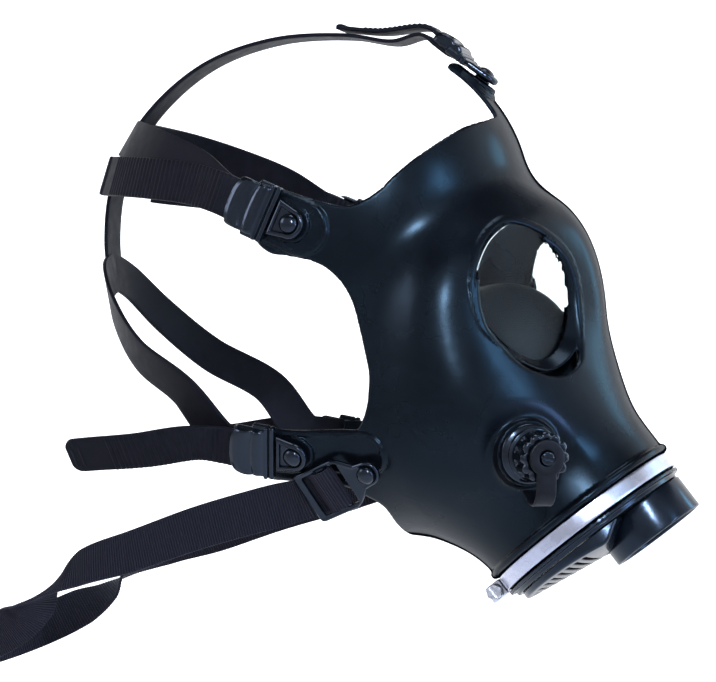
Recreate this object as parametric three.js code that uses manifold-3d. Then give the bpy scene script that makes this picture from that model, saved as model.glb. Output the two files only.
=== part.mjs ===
// Gas mask style costume mask: rubber facepiece, lenses, snout fittings, cheek port, harness and neck strap.
// Millimetres. The origin is the middle of the wearer's head at eye level.
// x runs to the wearer's left, y to the back of the head, z up, so the mask faces -y.
import * as THREE from "three";
import { mergeVertices } from "three/addons/utils/BufferGeometryUtils.js";
import Module from "manifold-3d";

const wasm = await Module();
wasm.setup();

// Head that the mask is made for. Every form and path follows these three sizes.
const HEAD_WIDTH = 154;
const HEAD_LENGTH = 194;
const HEAD_HEIGHT = 206;

// Rubber and clearances.
const WALL = 2.2;
const GAP = 0.35;
const PATCH_RISE = 1.2;

// Widths over which the valleys between the round forms are rounded.
const VALLEY = { head: 20, jaw: 30, eye: 25, ridge: 16, snout: 18, cheek: 20, band: 14, dimple: 8, cup: 14 };
const DIMPLE_RADIUS = 40;
const DIMPLE_DEPTH = 4;

// Rounded patches under the fastenings: where they start and end along the strap, half width, and depth.
const TEMPLE_PATCH = { start: 4, end: -27.5, half: 12.6, deep: 7 };
const JAW_PATCH = { start: 4, end: -53, half: 10.5, deep: 9 };
const TOP_PATCH = { start: 4, end: -21, half: 11, deep: 8 };
const PATCH_CLEAR = 5;
const TOP_TAB = { start: 4, end: -45, half: 12.5, deep: 30 };

// Snout, along an axis that points forward and down.
const SNOUT_RADIUS = 49;
const SNOUT_DROP = 52;
const SNOUT_DEPTH = 70;
const SNOUT_END = 0.6;

// Rubber mouth: sleeve under the band, rolled lip behind it, and the root inside the snout.
const SLEEVE_STEP = 2;
const SLEEVE_WALL = 2.6;
const SLEEVE_LENGTH = 8.2;
const LIP_RISE = 1.6;
const LIP_LOW = 3.4;
const LIP_ROOT = 7;
const MOUTH_ROOT = 20;

// Clamp band with its loose end, worm housing and screw.
const BAND_LOW = 0.5;
const BAND_WIDTH = 7;
const BAND_THICKNESS = 1;
const BAND_TAIL = 0.7;
const TAIL_CURL = 0.2;
const WORM_HALF = 6.5;
const WORM_LOW = -0.1;
const WORM_HIGH = 8;
const WORM_STAND = 4.2;
const WORM_ROOF = 4.4;
const SCREW_RADIUS = 3.1;
const SCREW_HEAD = 3.9;
const SCREW_TAIL = 7.4;
const SCREW_NECK = 7;
const SCREW_TOP = 10.4;

// Housing base that plugs the mouth.
const BASE_FLANGE = 1.6;
const BASE_PLATE = 2.2;
const BASE_SKIRT = 2.6;
const BASE_PLUG = 12;
const BASE_RIM = 1.3;
const BASE_STEP = 1.2;

// Filter socket.
const SOCKET_RADIUS = 23.4;
const SOCKET_BORE = 20.4;
const SOCKET_HEIGHT = 16.4;
const SOCKET_EDGE = 2.3;
const SOCKET_CHAMFER = 0.8;

// Slotted exhaust cover: a drum with a tilted face that slopes down to the socket.
const COVER_RADIUS = 43.5;
const COVER_SKIN = 1.8;
const COVER_LOW = 3.2;
const COVER_TILT = 8;
const COVER_BREAK = 4.6;
const COVER_SLOPE = 33;
const COVER_CLEAR = 1.8;
const SLOT_COUNT = 8;
const SLOT_PITCH = 4.7;
const SLOT_WIDTH = 1.9;
const SLOT_MARGIN = 3;
const SLOT_LEAST = 6;

// Nose cup, which stands on the snout's base by a short pipe.
const CUP_WALL = 1.6;
const CUP_PIPE = 16.5;
const CUP_PIPE_ROOT = 24;

// Eye openings, in heights above the eye's plane.
const EYE_HEIGHT = 69;
const EYE_TAPER = 4.5;
const EYE_FACE = 1.5;
const EYE_SEAT = 5.5;
const EYE_WELL = 9.1;
const EYE_LAND = 1;
const LENS_THICKNESS = 1.7;
const LENS_LIP = 2;

// Cheek port on the wearer's right, as radii and heights above its boss.
const BOSS_RADIUS = 14.7;
const BOSS_FOOT = 1.5;
const BOSS_HIGH = 2.6;
const BOSS_DEEP = 7;
const PORT_HOLE = 9.4;
const PORT_BORE = 4;
const PORT_DEEP = 9;
const PORT_FLANGE = { radius: 13.5, high: 2 };
const PORT_NECK = { radius: 11, low: 2.8, high: 5 };
const PORT_COLLAR = { radius: 12, low: 5.4, high: 7 };
const PORT_RING = { radius: 10, low: 7.4, high: 9.6 };
const CAP_RADIUS = 11.5;
const CAP_HEIGHT = 10.5;
const CAP_EDGE = 1.1;
const CAP_WELL = { radius: 3.8, deep: 5 };
const CAP_NOTCHES = 12;
const NOTCH_RADIUS = 1.5;
const BUTTON = { radius: 3.1, rise: 1.2, edge: 0.8, foot: 4.6, slot: 1 };
const TETHER_DISC = 8.1;
const TETHER_EYE = 3.5;
const TETHER_WIDTH = 9.3;
const TETHER_THICKNESS = 1.8;
const TETHER_INSET = 0.1;

// The tether's tail, below the middle of the cap: distance down, and height over the middle of its eye.
const TETHER_PATH = [
  { down: 5, rise: 0 },
  { down: 12, rise: 0 },
  { down: 17, rise: -0.6 },
  { down: 20.6, rise: -4 },
  { down: 20.4, rise: -9 },
  { down: 18.4, rise: -13 },
  { down: 16.4, rise: -17 },
];

// Harness straps and their buckles.
const STRAP_WIDTH = 19;
const STRAP_THICKNESS = 1.8;
const STRAP_LIFT = 0.3;
const TAIL_RISE = 3.6;
const FRAME_LOW = 2.8;
const FRAME_HIGH = 4.4;
const CHEEK_CLEAR = 0.6;
const CHEEK_WALL = 1.5;
const BUCKLE_LENGTH = 20.5;
const BUCKLE_TOP = 8.4;
const HOOD_WALL = 1.1;
const FLANGE = { back: -1.8, front: 2.8, half: 13.3, low: 1.2, high: 5.2 };
const BUCKLE_BAR = { start: 8, end: 11 };
const TURN_AT = 7;
const RUN_NEAR = 15;
const RUN_FAR = 24;

// Tongues that hang the buckles on domed studs.
const STUD_SPACING = 10.6;
const STUD_RADIUS = 4.4;
const STUD_DOME = 2.6;
const STUD_SHANK = 2.6;
const STUD_FOOT = { radius: 4, high: 1.05 };
const TONGUE = { low: 1.4, high: 4.6, floor: 3.4, back: -2.3, half: 8.6, round: 7, rim: 1.7, hole: 3.15 };

// Neck loops, raised over the jaw patches.
const LOOP_WIDTH = 26;
const LOOP_LENGTH = 34;
const LOOP_THICKNESS = 2.2;
const LOOP_RISE = 3.2;
const LOOP_LEAN = 29;
const LOOP_TILT = 8;
const LOOP_EYE = 6;
const LOOP_NECK = { start: 4, half: 6.4, end: 10 };
const LOOP_WINDOWS = [{ start: 11, end: 17.5 }, { start: 21.5, end: 30.4 }];
const LOOP_CORNER = 2;
const LOOP_STUD = 4.2;

// Neck strap of woven webbing.
const WEB_WIDTH = 20;
const WEB_THICKNESS = 1.6;

// The webbing's way through a loop: distance along it and below its middle line, height over the place where the
// webbing lies on the bar, and how far its face is turned back.
const WEB_RUN = [
  { along: 16, down: 0, rise: -4.65, turn: 90 },
  { along: 16, down: 0, rise: -1.4, turn: 90 },
  { along: 17.6, down: 0, rise: -0.1, turn: 45 },
  { along: 19.5, down: 0, rise: 0, turn: 0 },
  { along: 23, down: 0, rise: -0.5, turn: 0 },
  { along: 28.4, down: 0, rise: -5.2, turn: 0 },
  { along: 32.5, down: 0, rise: -5.5, turn: 0 },
  { along: 39, down: -0.8, rise: -4.5, turn: 0 },
];

// Lengths beyond the part, for solids that only cut.
const FAR = 150;
const NEAR = 30;

// Facets: spokes and rings of the face's skins, and sides of turned parts.
const OUTSIDE_GRID = { spokes: 36, rings: 17 };
const RAISED_GRID = { spokes: 44, rings: 20 };
const INSIDE_GRID = { spokes: 24, rings: 11 };
const CUP_GRID = { spokes: 14, rings: 6 };
const EDGE_STEPS = 37;
const EYE_STEPS = 20;
const LARGE = 32;
const MEDIUM = 24;
const SMALL = 16;
const LEAST = 10;

const HX = HEAD_WIDTH / 2;
const HY = HEAD_LENGTH / 2;
const HZ = HEAD_HEIGHT / 2;

// Round forms: centre and radii as shares of half the head's width, length and height.
const FORMS = {
  skull: { y: 0, z: 0.272, rx: 1, ry: 1, rz: 0.883, below: 1.117 },
  forehead: { y: -0.381, z: 0.427, rx: 0.909, ry: 0.691, rz: 0.66 },
  jaw: { y: -0.21, z: -0.466, rx: 0.883, ry: 0.77, rz: 0.655 },
  dome: { y: -0.918, z: -0.16, rx: 1.039, ry: 0.665, rz: 0.665 },
  cheek: { y: -0.804, z: -0.563, rx: 0.987, ry: 0.68, rz: 0.573 },
  noseTip: { y: -1.0, z: -0.29, rx: 0.29, ry: 0.34, rz: 0.32 },
  noseBase: { y: -0.95, z: -0.62, rx: 0.47, ry: 0.45, rz: 0.42 },
};

// Places on the wearer's right half, as shares of the same three half sizes.
const PLACES = {
  eye: { x: -0.584, y: -1.242, z: -0.019 },
  snout: { x: 0, y: -1.374, z: -1.022 },
  port: { x: -0.774, y: -1.23, z: -0.719 },
  top: { x: 0, y: -0.758, z: 0.976 },
  temple: { x: -1.03, y: -0.066, z: 0.315 },
  jaw: { x: -0.803, y: -0.041, z: -0.72 },
  loop: { x: -0.835, y: -0.507, z: -0.785 },
};

// Rear edge of the rubber on the wearer's right, seen from the side, from forehead to chin.
const REAR_EDGE = [
  { y: -1.02, z: 0.83 },
  { y: -0.963, z: 0.755 },
  { y: -0.93, z: 0.736 },
  { y: -0.879, z: 0.704 },
  { y: -0.809, z: 0.645 },
  { y: -0.713, z: 0.566 },
  { y: -0.611, z: 0.472 },
  { y: -0.57, z: 0.428 },
  { y: -0.491, z: 0.376 },
  { y: -0.414, z: 0.354 },
  { y: -0.309, z: 0.373 },
  { y: -0.243, z: 0.39 },
  { y: -0.128, z: 0.425 },
  { y: -0.075, z: 0.446 },
  { y: 0.02, z: 0.22 },
  { y: -0.054, z: 0.149 },
  { y: -0.13, z: 0.135 },
  { y: -0.209, z: 0.122 },
  { y: -0.302, z: 0.091 },
  { y: -0.377, z: 0.026 },
  { y: -0.426, z: -0.056 },
  { y: -0.459, z: -0.165 },
  { y: -0.488, z: -0.274 },
  { y: -0.51, z: -0.374 },
  { y: -0.508, z: -0.448 },
  { y: -0.499, z: -0.521 },
  { y: -0.448, z: -0.622 },
  { y: -0.376, z: -0.658 },
  { y: -0.291, z: -0.646 },
  { y: -0.154, z: -0.632 },
  { y: -0.035, z: -0.63 },
  { y: 0.035, z: -0.835 },
  { y: -0.138, z: -0.859 },
  { y: -0.36, z: -0.883 },
  { y: -0.44, z: -0.922 },
  { y: -0.516, z: -0.972 },
  { y: -0.542, z: -1.063 },
  { y: -0.566, z: -1.2 },
];

// Rim of an eye opening as shares of its half height: across towards the nose, and up.
const EYE_RIM = [
  { across: -0.971, up: 0.043 },
  { across: -0.843, up: 0.458 },
  { across: -0.62, up: 0.76 },
  { across: -0.255, up: 0.954 },
  { across: 0.255, up: 0.838 },
  { across: 0.67, up: 0.516 },
  { across: 0.81, up: 0.09 },
  { across: 0.812, up: -0.241 },
  { across: 0.704, up: -0.652 },
  { across: 0.487, up: -0.904 },
  { across: 0.159, up: -1.02 },
  { across: -0.165, up: -0.954 },
  { across: -0.43, up: -0.829 },
  { across: -0.7, up: -0.64 },
  { across: -0.87, up: -0.446 },
];

// Harness paths on the wearer's right, as shares of the half sizes, from the buckle to the back.
const TEMPLE_ARM = [
  { x: -0.93, y: 0.34, z: 0.53 },
  { x: -0.76, y: 0.56, z: 0.62 },
  { x: -0.53, y: 0.74, z: 0.68 },
  { x: -0.32, y: 0.836, z: 0.704 },
  { x: 0.03, y: 0.88, z: 0.71 },
];
const TEMPLE_TAIL = [
  { x: -0.95, y: 0.34, z: 0.455 },
  { x: -0.85, y: 0.527, z: 0.48 },
  { x: -0.7, y: 0.71, z: 0.5 },
  { x: -0.5, y: 0.86, z: 0.515 },
];
const TEMPLE_TIP = { x: -0.44, y: 0.89, z: 0.519 };
const JAW_ARM = [
  { x: -0.88, y: 0.4, z: -0.46 },
  { x: -0.7, y: 0.67, z: -0.3 },
  { x: -0.46, y: 0.86, z: -0.115 },
  { x: -0.22, y: 0.97, z: 0.04 },
  { x: 0.03, y: 1, z: 0.1 },
];
const JAW_TAIL = [
  { x: -0.94, y: 0.34, z: -0.685 },
  { x: -0.93, y: 0.6, z: -0.72 },
  { x: -0.9, y: 0.85, z: -0.74 },
];
const JAW_TIP = { x: -0.89, y: 0.97, z: -0.75 };
const TOP_ARM = [
  { x: 0, y: -0.43, z: 1.08 },
  { x: 0, y: -0.22, z: 1.14 },
  { x: 0, y: 0.15, z: 1.15 },
  { x: 0, y: 0.5, z: 1.02 },
  { x: 0, y: 0.8, z: 0.78 },
  { x: 0, y: 0.95, z: 0.5 },
  { x: 0, y: 1, z: 0.24 },
  { x: 0, y: 1, z: 0 },
];
const TOP_TAIL = [
  { x: 0, y: -0.36, z: 1.11 },
];
const TOP_TIP = { x: 0, y: -0.17, z: 1.16 };

// Neck strap from the right loop round the back of the neck to the middle, with its lean in degrees:
// 0 stands on its edge with its face outward, 180 has turned over.
const NECK_PATH = [
  { x: -0.79, y: 0.05, z: -0.985, lean: 4 },
  { x: -0.82, y: 0.34, z: -1.065, lean: 6 },
  { x: -0.82, y: 0.67, z: -1.175, lean: 10 },
  { x: -0.78, y: 0.95, z: -1.26, lean: 24 },
  { x: -0.72, y: 1.12, z: -1.36, lean: 72 },
  { x: -0.66, y: 1.23, z: -1.47, lean: 108 },
  { x: -0.58, y: 1.35, z: -1.54, lean: 140 },
  { x: -0.4, y: 1.56, z: -1.64, lean: 168 },
  { x: 0, y: 1.68, z: -1.69, lean: 180 },
];

const rad = THREE.MathUtils.degToRad;
const vec = (x, y, z) => new THREE.Vector3(x, y, z);
const place = (row) => vec(row.x * HX, row.y * HY, row.z * HZ);

// Solids.

// A geometry as a closed manifold body with its faces outward.
function solid(geometry) {
  const bare = geometry.clone();
  bare.deleteAttribute("normal");
  bare.deleteAttribute("uv");
  const merged = mergeVertices(bare, 1e-4);
  const index = [];
  for (let i = 0; i < merged.index.count; i += 3) {
    const [a, b, c] = [0, 1, 2].map((k) => merged.index.getX(i + k));
    if (a !== b && b !== c && c !== a) index.push(a, b, c);
  }
  const points = new Float32Array(merged.attributes.position.array);
  const made = bodyOf(points, new Uint32Array(index));
  return made.volume() > 0 ? made : bodyOf(points, new Uint32Array(turnedOver(index)));
}

function bodyOf(vertProperties, triVerts) {
  return new wasm.Manifold(new wasm.Mesh({ numProp: 3, vertProperties, triVerts }));
}

// The same triangles with their other side out.
function turnedOver(index) {
  const other = [...index];
  for (let i = 0; i < other.length; i += 3) {
    [other[i + 1], other[i + 2]] = [other[i + 2], other[i + 1]];
  }
  return other;
}

const union = (...bodies) => bodies.reduce((sum, body) => sum.add(body));
const cut = (body, ...tools) => tools.reduce((rest, tool) => rest.subtract(tool), body);

// A manifold body as a three.js geometry.
function geometryOf(body) {
  const mesh = body.getMesh();
  const geometry = new THREE.BufferGeometry();
  const points = new Float32Array((mesh.vertProperties.length / mesh.numProp) * 3);
  for (let i = 0; i < points.length / 3; i += 1) {
    for (let k = 0; k < 3; k += 1) points[i * 3 + k] = mesh.vertProperties[i * mesh.numProp + k];
  }
  geometry.setAttribute("position", new THREE.BufferAttribute(points, 3));
  geometry.setIndex([...mesh.triVerts]);
  return geometry;
}

// The same geometry on the other side of the face.
function mirrored(geometry) {
  const other = geometry.clone();
  other.scale(-1, 1, 1);
  other.setIndex(turnedOver(other.index.array));
  return other;
}

const both = (body) => union(body, solid(mirrored(geometryOf(body))));

// A frame with its third axis along w and its first as near to u as it can be.
function frame(origin, u, w) {
  const third = w.clone().normalize();
  const second = third.clone().cross(u).normalize();
  const first = second.clone().cross(third);
  return new THREE.Matrix4().makeBasis(first, second, third).setPosition(origin);
}

const inFrame = (at, u, v, w) => vec(u, v, w).applyMatrix4(at);

// An outline of [first, second] pairs, swept from one height to another in a frame.
function prism(outline, low, high, at, holes = []) {
  const shape = new THREE.Shape(outline.map(([a, b]) => new THREE.Vector2(a, b)));
  for (const hole of holes) shape.holes.push(new THREE.Path(hole.map(([a, b]) => new THREE.Vector2(a, b))));
  const geometry = new THREE.ExtrudeGeometry(shape, { depth: high - low, bevelEnabled: false });
  geometry.translate(0, 0, low);
  return solid(geometry.applyMatrix4(at));
}

// A closed profile of [radius, height] pairs turned about the third axis of a frame.
function turned(profile, sides, at) {
  const closed = [...profile, profile[0]];
  const geometry = new THREE.LatheGeometry(closed.map(([r, h]) => new THREE.Vector2(r, h)), sides);
  geometry.rotateX(Math.PI / 2);
  return solid(geometry.applyMatrix4(at));
}

const disc = (radius, low, high, sides, at) =>
  turned([[0, low], [radius, low], [radius, high], [0, high]], sides, at);

function block(low, high, at) {
  const geometry = new THREE.BoxGeometry(...high.map((value, i) => value - low[i]));
  geometry.translate(...high.map((value, i) => (value + low[i]) / 2));
  return solid(geometry.applyMatrix4(at));
}

// Rings of equal count joined in order, with flat ends. Each quad is split along its shorter diagonal.
function loft(rings) {
  const count = rings[0].length;
  const all = rings.flat();
  const index = [];
  for (let r = 0; r + 1 < rings.length; r += 1) {
    for (let i = 0; i < count; i += 1) {
      const a = r * count + i;
      const b = r * count + ((i + 1) % count);
      if (all[a].distanceTo(all[b + count]) <= all[b].distanceTo(all[a + count])) {
        index.push(a, b, b + count, a, b + count, a + count);
      } else {
        index.push(a, b, a + count, b, b + count, a + count);
      }
    }
  }
  const last = (rings.length - 1) * count;
  for (let i = 1; i + 1 < count; i += 1) {
    index.push(0, i + 1, i);
    index.push(last, last + i, last + i + 1);
  }
  const geometry = new THREE.BufferGeometry();
  geometry.setAttribute("position", new THREE.Float32BufferAttribute(all.flatMap((p) => [p.x, p.y, p.z]), 3));
  geometry.setIndex(index);
  return solid(geometry);
}

const arc = (u, v, radius, from, to, steps) =>
  Array.from({ length: steps + 1 }, (_, i) => {
    const turn = rad(from + ((to - from) * i) / steps);
    return [u + radius * Math.cos(turn), v + radius * Math.sin(turn)];
  });
const circle = (u, v, radius, steps) => arc(u, v, radius, 0, 360, steps).slice(0, steps);
const oblong = (u0, u1, half) => [[u0, -half], [u1, -half], [u1, half], [u0, half]];

// The face.

// Distance to one of the round forms, grown by a thickness.
function roundDistance(p, form, grow = 0) {
  const [dx, dy, dz] = [p.x, p.y - form.y * HY, p.z - form.z * HZ];
  const share = dz < 0 && form.below ? form.below : form.rz;
  const [rx, ry, rz] = [form.rx * HX + grow, form.ry * HY + grow, share * HZ + grow];
  const near = Math.hypot(dx / rx, dy / ry, dz / rz);
  const steep = Math.hypot(dx / rx ** 2, dy / ry ** 2, dz / rz ** 2);
  return steep < 1e-9 ? -rx : (near * (near - 1)) / steep;
}

// The smaller of two distances, with the valley between them rounded over a width.
function blend(a, b, width) {
  const h = Math.max(width - Math.abs(a - b), 0) / width;
  return Math.min(a, b) - (h * h * width) / 4;
}
const carve = (a, b, width) => -blend(-a, -b, width);

const eyePoint = place(PLACES.eye);
const eyeNormal = vec(-0.6, -0.79, 0.03).normalize();
const eyeAt = frame(eyePoint, vec(-eyeNormal.y, eyeNormal.x, 0), eyeNormal);
const snoutPoint = place(PLACES.snout);
const snoutAxis = vec(0, -Math.cos(rad(SNOUT_DROP)), -Math.sin(rad(SNOUT_DROP)));
const snoutAt = frame(snoutPoint, vec(1, 0, 0), snoutAxis);
const portPoint = place(PLACES.port);
const portNormal = vec(-0.843, -0.535, -0.056).normalize();
const portAt = frame(portPoint, vec(0, 0, 1), portNormal);
const dimplePoint = portPoint.clone().addScaledVector(vec(-0.81, -0.53, -0.25), DIMPLE_RADIUS - DIMPLE_DEPTH);

const headDistance = (p, grow = 0) =>
  blend(roundDistance(p, FORMS.skull, grow), roundDistance(p, FORMS.forehead, grow), VALLEY.head);

// Distance to the plane of the eye opening on one side.
const eyePlane = (p, side) => vec(side * p.x, p.y, p.z).sub(eyePoint).dot(eyeNormal);

// Distance to the outside of the rubber: a band that lies on the head, with a dome, cheeks and snout that stand
// off it.
function faceDistance(p) {
  const band = blend(headDistance(p, WALL), roundDistance(p, FORMS.jaw, WALL), VALLEY.jaw);
  const eyes = carve(eyePlane(p, 1), eyePlane(p, -1), VALLEY.ridge);
  const dome = carve(roundDistance(p, FORMS.dome), eyes, VALLEY.eye);
  const offset = p.clone().sub(snoutPoint);
  const along = offset.dot(snoutAxis);
  const away = Math.sqrt(Math.max(offset.lengthSq() - along * along, 0));
  const snout = Math.max(away - SNOUT_RADIUS, -(along + SNOUT_DEPTH));
  let body = blend(dome, snout, VALLEY.snout);
  body = blend(body, roundDistance(p, FORMS.cheek), VALLEY.cheek);
  body = blend(body, band, VALLEY.band);
  return carve(body, DIMPLE_RADIUS - p.distanceTo(dimplePoint), VALLEY.dimple);
}

// The place along a ray where a distance falls to a level, found from outside.
function meet(distance, origin, direction, level, far) {
  const steps = 60;
  const value = (reach) => distance(origin.clone().addScaledVector(direction, reach));
  let step = steps;
  while (step > 0 && value((far * step) / steps) >= level) step -= 1;
  let low = (far * step) / steps;
  let high = low + far / steps;
  for (let i = 0; i < 14; i += 1) {
    const middle = (low + high) / 2;
    if (value(middle) < level) low = middle;
    else high = middle;
  }
  return origin.clone().addScaledVector(direction, low);
}

// The way out of a form at a place.
function outward(distance, p) {
  const slope = [vec(0.5, 0, 0), vec(0, 0.5, 0), vec(0, 0, 0.5)].map(
    (step) => distance(p.clone().add(step)) - distance(p.clone().sub(step)),
  );
  return vec(...slope).normalize();
}

// Rays from inside the face, on rings about the snout's axis.
const FACE_CORE = snoutPoint.clone().addScaledVector(snoutAxis, -1.6 * SNOUT_DEPTH);
const RING_SHIFT = 9;

// A closed skin at a level of the face's distance.
function faceSkin(level, { spokes, rings }) {
  const base = frame(FACE_CORE, vec(1, 0, 0), snoutAxis);
  const ray = (tilt, turn) => {
    const [a, b] = [rad(tilt), rad(turn)];
    const direction = vec(Math.sin(a) * Math.cos(b), Math.sin(a) * Math.sin(b), Math.cos(a));
    return meet(faceDistance, FACE_CORE, direction.transformDirection(base), level, 3 * HX);
  };
  const points = [ray(0, 0), ray(180, 0)];
  for (let r = 1; r < rings; r += 1) {
    const tilt = (180 * r) / rings - RING_SHIFT * Math.sin((2 * Math.PI * r) / rings);
    for (let s = 0; s < spokes; s += 1) points.push(ray(tilt, (360 * s) / spokes));
  }
  const at = (r, s) => 2 + r * spokes + (s % spokes);
  const index = [];
  for (let s = 0; s < spokes; s += 1) {
    index.push(0, at(0, s), at(0, s + 1));
    index.push(1, at(rings - 2, s + 1), at(rings - 2, s));
    for (let r = 0; r + 2 < rings; r += 1) {
      index.push(at(r, s), at(r + 1, s), at(r + 1, s + 1), at(r, s), at(r + 1, s + 1), at(r, s + 1));
    }
  }
  const geometry = new THREE.BufferGeometry();
  geometry.setAttribute("position", new THREE.Float32BufferAttribute(points.flatMap((p) => [p.x, p.y, p.z]), 3));
  geometry.setIndex(index);
  return solid(geometry);
}

// Fastening places: u runs towards the strap, w stands off the rubber.
function sideFrame(row, lean, rise = PATCH_RISE, tilt = 0) {
  const from = place({ x: 0, y: row.y, z: row.z });
  const spot = meet(faceDistance, from, vec(-1, 0, 0), 0, HEAD_WIDTH);
  const normal = outward(faceDistance, spot);
  const u = vec(0, Math.cos(rad(lean)), Math.sin(rad(lean)));
  const w = normal.clone().addScaledVector(u, -Math.sin(rad(tilt)));
  return frame(spot.addScaledVector(normal, rise), u, w);
}

function topFrame() {
  const from = vec(0, 0, FORMS.skull.z * HZ);
  const toward = place(PLACES.top).sub(from).normalize();
  const spot = meet(faceDistance, from, toward, 0, HEAD_LENGTH);
  const w = outward(faceDistance, spot);
  return frame(spot.addScaledVector(w, PATCH_RISE), vec(0, 1, 1), w);
}

const topAt = topFrame();
const templeAt = sideFrame(PLACES.temple, 24);
const jawAt = sideFrame(PLACES.jaw, 0);
const loopAt = sideFrame(PLACES.loop, -LOOP_LEAN, PATCH_RISE + LOOP_RISE, LOOP_TILT);

// A flat bar with one round end, away from the strap.
function patch({ start, end, half, deep }, at) {
  const outline = [[start, -half], [start, half], ...arc(end + half, 0, half, 90, 270, 8)];
  return prism(outline, -deep, PATCH_CLEAR, at);
}

// What the side outline and the forehead tab keep of the skin.
function keptBody() {
  const rows = REAR_EDGE.map((row) => vec(row.y * HY, row.z * HZ, 0));
  const edge = new THREE.CatmullRomCurve3(rows, false, "centripetal");
  const outline = edge.getPoints(EDGE_STEPS).map((p) => [p.x, p.y]);
  const side = frame(vec(0, 0, 0), vec(0, 1, 0), vec(1, 0, 0));
  const front = -2.2 * HY;
  const kept = prism([...outline, [front, -2 * HZ], [front, 0.9 * HZ]], -HEAD_WIDTH, HEAD_WIDTH, side);
  const { start, end, half, deep } = TOP_TAB;
  return union(kept, block([end, -half, -deep], [start, half, deep], topAt));
}

// The rim of the eye opening, grown outwards by a width.
function eyeRing(grow) {
  const rows = EYE_RIM.map((row) => vec((row.across * EYE_HEIGHT) / 2, (row.up * EYE_HEIGHT) / 2, 0));
  const curve = new THREE.CatmullRomCurve3(rows, true, "centripetal");
  const scale = 1 + (2 * grow) / EYE_HEIGHT;
  return curve.getPoints(EYE_STEPS).slice(0, EYE_STEPS).map((p) => [p.x * scale, p.y * scale]);
}

// An eye opening: a funnel down to a lip, a groove that holds the lens, and the way through behind it.
function eyeCut() {
  const seat = -EYE_SEAT - LENS_THICKNESS - 2 * GAP;
  const held = LENS_LIP - EYE_TAPER + GAP;
  const steps = [
    [-EYE_TAPER, -EYE_WELL - DIMPLE_DEPTH],
    [-EYE_TAPER, seat],
    [held, seat],
    [held, -EYE_SEAT],
    [-EYE_TAPER, -EYE_SEAT],
    [-EYE_TAPER, -EYE_SEAT + EYE_LAND],
    [0, EYE_FACE],
    [EYE_TAPER, EYE_FACE + 2 * EYE_TAPER],
  ];
  return loft(steps.map(([grow, height]) => eyeRing(grow).map(([a, b]) => inFrame(eyeAt, a, b, height))));
}

function lensBody() {
  const top = -EYE_SEAT - GAP;
  return prism(eyeRing(LENS_LIP - EYE_TAPER), top - LENS_THICKNESS, top, eyeAt);
}

const SLEEVE = SNOUT_RADIUS - SLEEVE_STEP;
const BORE = SLEEVE - SLEEVE_WALL;

// The rubber mouth: a sleeve under the band behind a rolled lip.
function mouthRing() {
  const lip = SNOUT_RADIUS + LIP_RISE;
  const profile = [
    [BORE, -MOUTH_ROOT],
    [SNOUT_RADIUS - 1, -MOUTH_ROOT],
    [SNOUT_RADIUS - 0.2, -LIP_ROOT],
    [lip, -LIP_LOW],
    [lip, -SNOUT_END],
    [SLEEVE, 0.2 - SNOUT_END],
    [SLEEVE, SLEEVE_LENGTH],
    [BORE, SLEEVE_LENGTH],
  ];
  return turned(profile, LARGE, snoutAt);
}

function portBoss() {
  const profile = [
    [0, -BOSS_DEEP],
    [BOSS_RADIUS + BOSS_FOOT, -BOSS_DEEP],
    [BOSS_RADIUS, BOSS_HIGH],
    [0, BOSS_HIGH],
  ];
  return turned(profile, SMALL, portAt);
}

function facepiece() {
  const side = union(patch(TEMPLE_PATCH, templeAt), patch(JAW_PATCH, jawAt));
  const raised = union(both(side), patch(TOP_PATCH, topAt));
  const patches = faceSkin(PATCH_RISE, RAISED_GRID).intersect(raised);
  const beyond = block([-FAR, -FAR, -SNOUT_END], [FAR, FAR, FAR], snoutAt);
  const skin = cut(faceSkin(0, OUTSIDE_GRID), beyond);
  const wells = both(prism(eyeRing(1), -EYE_WELL, MOUTH_ROOT, eyeAt)).intersect(skin);
  const shell = cut(union(skin.intersect(keptBody()), patches, portBoss()), faceSkin(-WALL, INSIDE_GRID));
  const bore = disc(BORE, -NEAR, NEAR, LARGE, snoutAt);
  const port = disc(PORT_HOLE, -NEAR, NEAR, SMALL, portAt);
  return cut(union(shell, wells, mouthRing()), both(eyeCut()), bore, port);
}

// Nose cup: a cup that opens towards the face, on a pipe.
function noseCup() {
  const distance = (p) => blend(roundDistance(p, FORMS.noseTip), roundDistance(p, FORMS.noseBase), VALLEY.cup);
  const core = vec(0, -0.97 * HY, -0.5 * HZ);
  const { spokes, rings } = CUP_GRID;
  const ring = (level, r) =>
    Array.from({ length: spokes }, (_, s) => {
      const [tilt, turn] = [rad(6 + (168 * r) / rings), (2 * Math.PI * s) / spokes];
      const way = vec(Math.sin(tilt) * Math.cos(turn), -Math.cos(tilt), Math.sin(tilt) * Math.sin(turn));
      return meet(distance, core, way, level, HY);
    });
  const skin = (level) => loft(Array.from({ length: rings + 1 }, (_, r) => ring(level, r)));
  const behind = frame(vec(0, -0.86 * HY, -0.45 * HZ), vec(1, 0, 0), vec(0, 1, -0.18));
  const cup = cut(skin(0), skin(-CUP_WALL), block([-FAR, -FAR, 0], [FAR, FAR, FAR], behind));
  const pipe = disc(CUP_PIPE + CUP_WALL, -CUP_PIPE_ROOT, SLEEVE_LENGTH, SMALL, snoutAt);
  return cut(union(cup, pipe), disc(CUP_PIPE, -2 * NEAR, NEAR, SMALL, snoutAt));
}

// Snout fittings, in heights along the snout's axis.
const FLANGE_LOW = SLEEVE_LENGTH + GAP;
const PLATE_LOW = FLANGE_LOW + BASE_FLANGE;
const PLATE_HIGH = PLATE_LOW + BASE_PLATE;
const FITTING_LOW = PLATE_HIGH + GAP;
const socketOffset = SNOUT_RADIUS - SOCKET_RADIUS - SOCKET_EDGE;
const socketAt = frame(inFrame(snoutAt, 0, socketOffset, 0), vec(1, 0, 0), snoutAxis);

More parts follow.
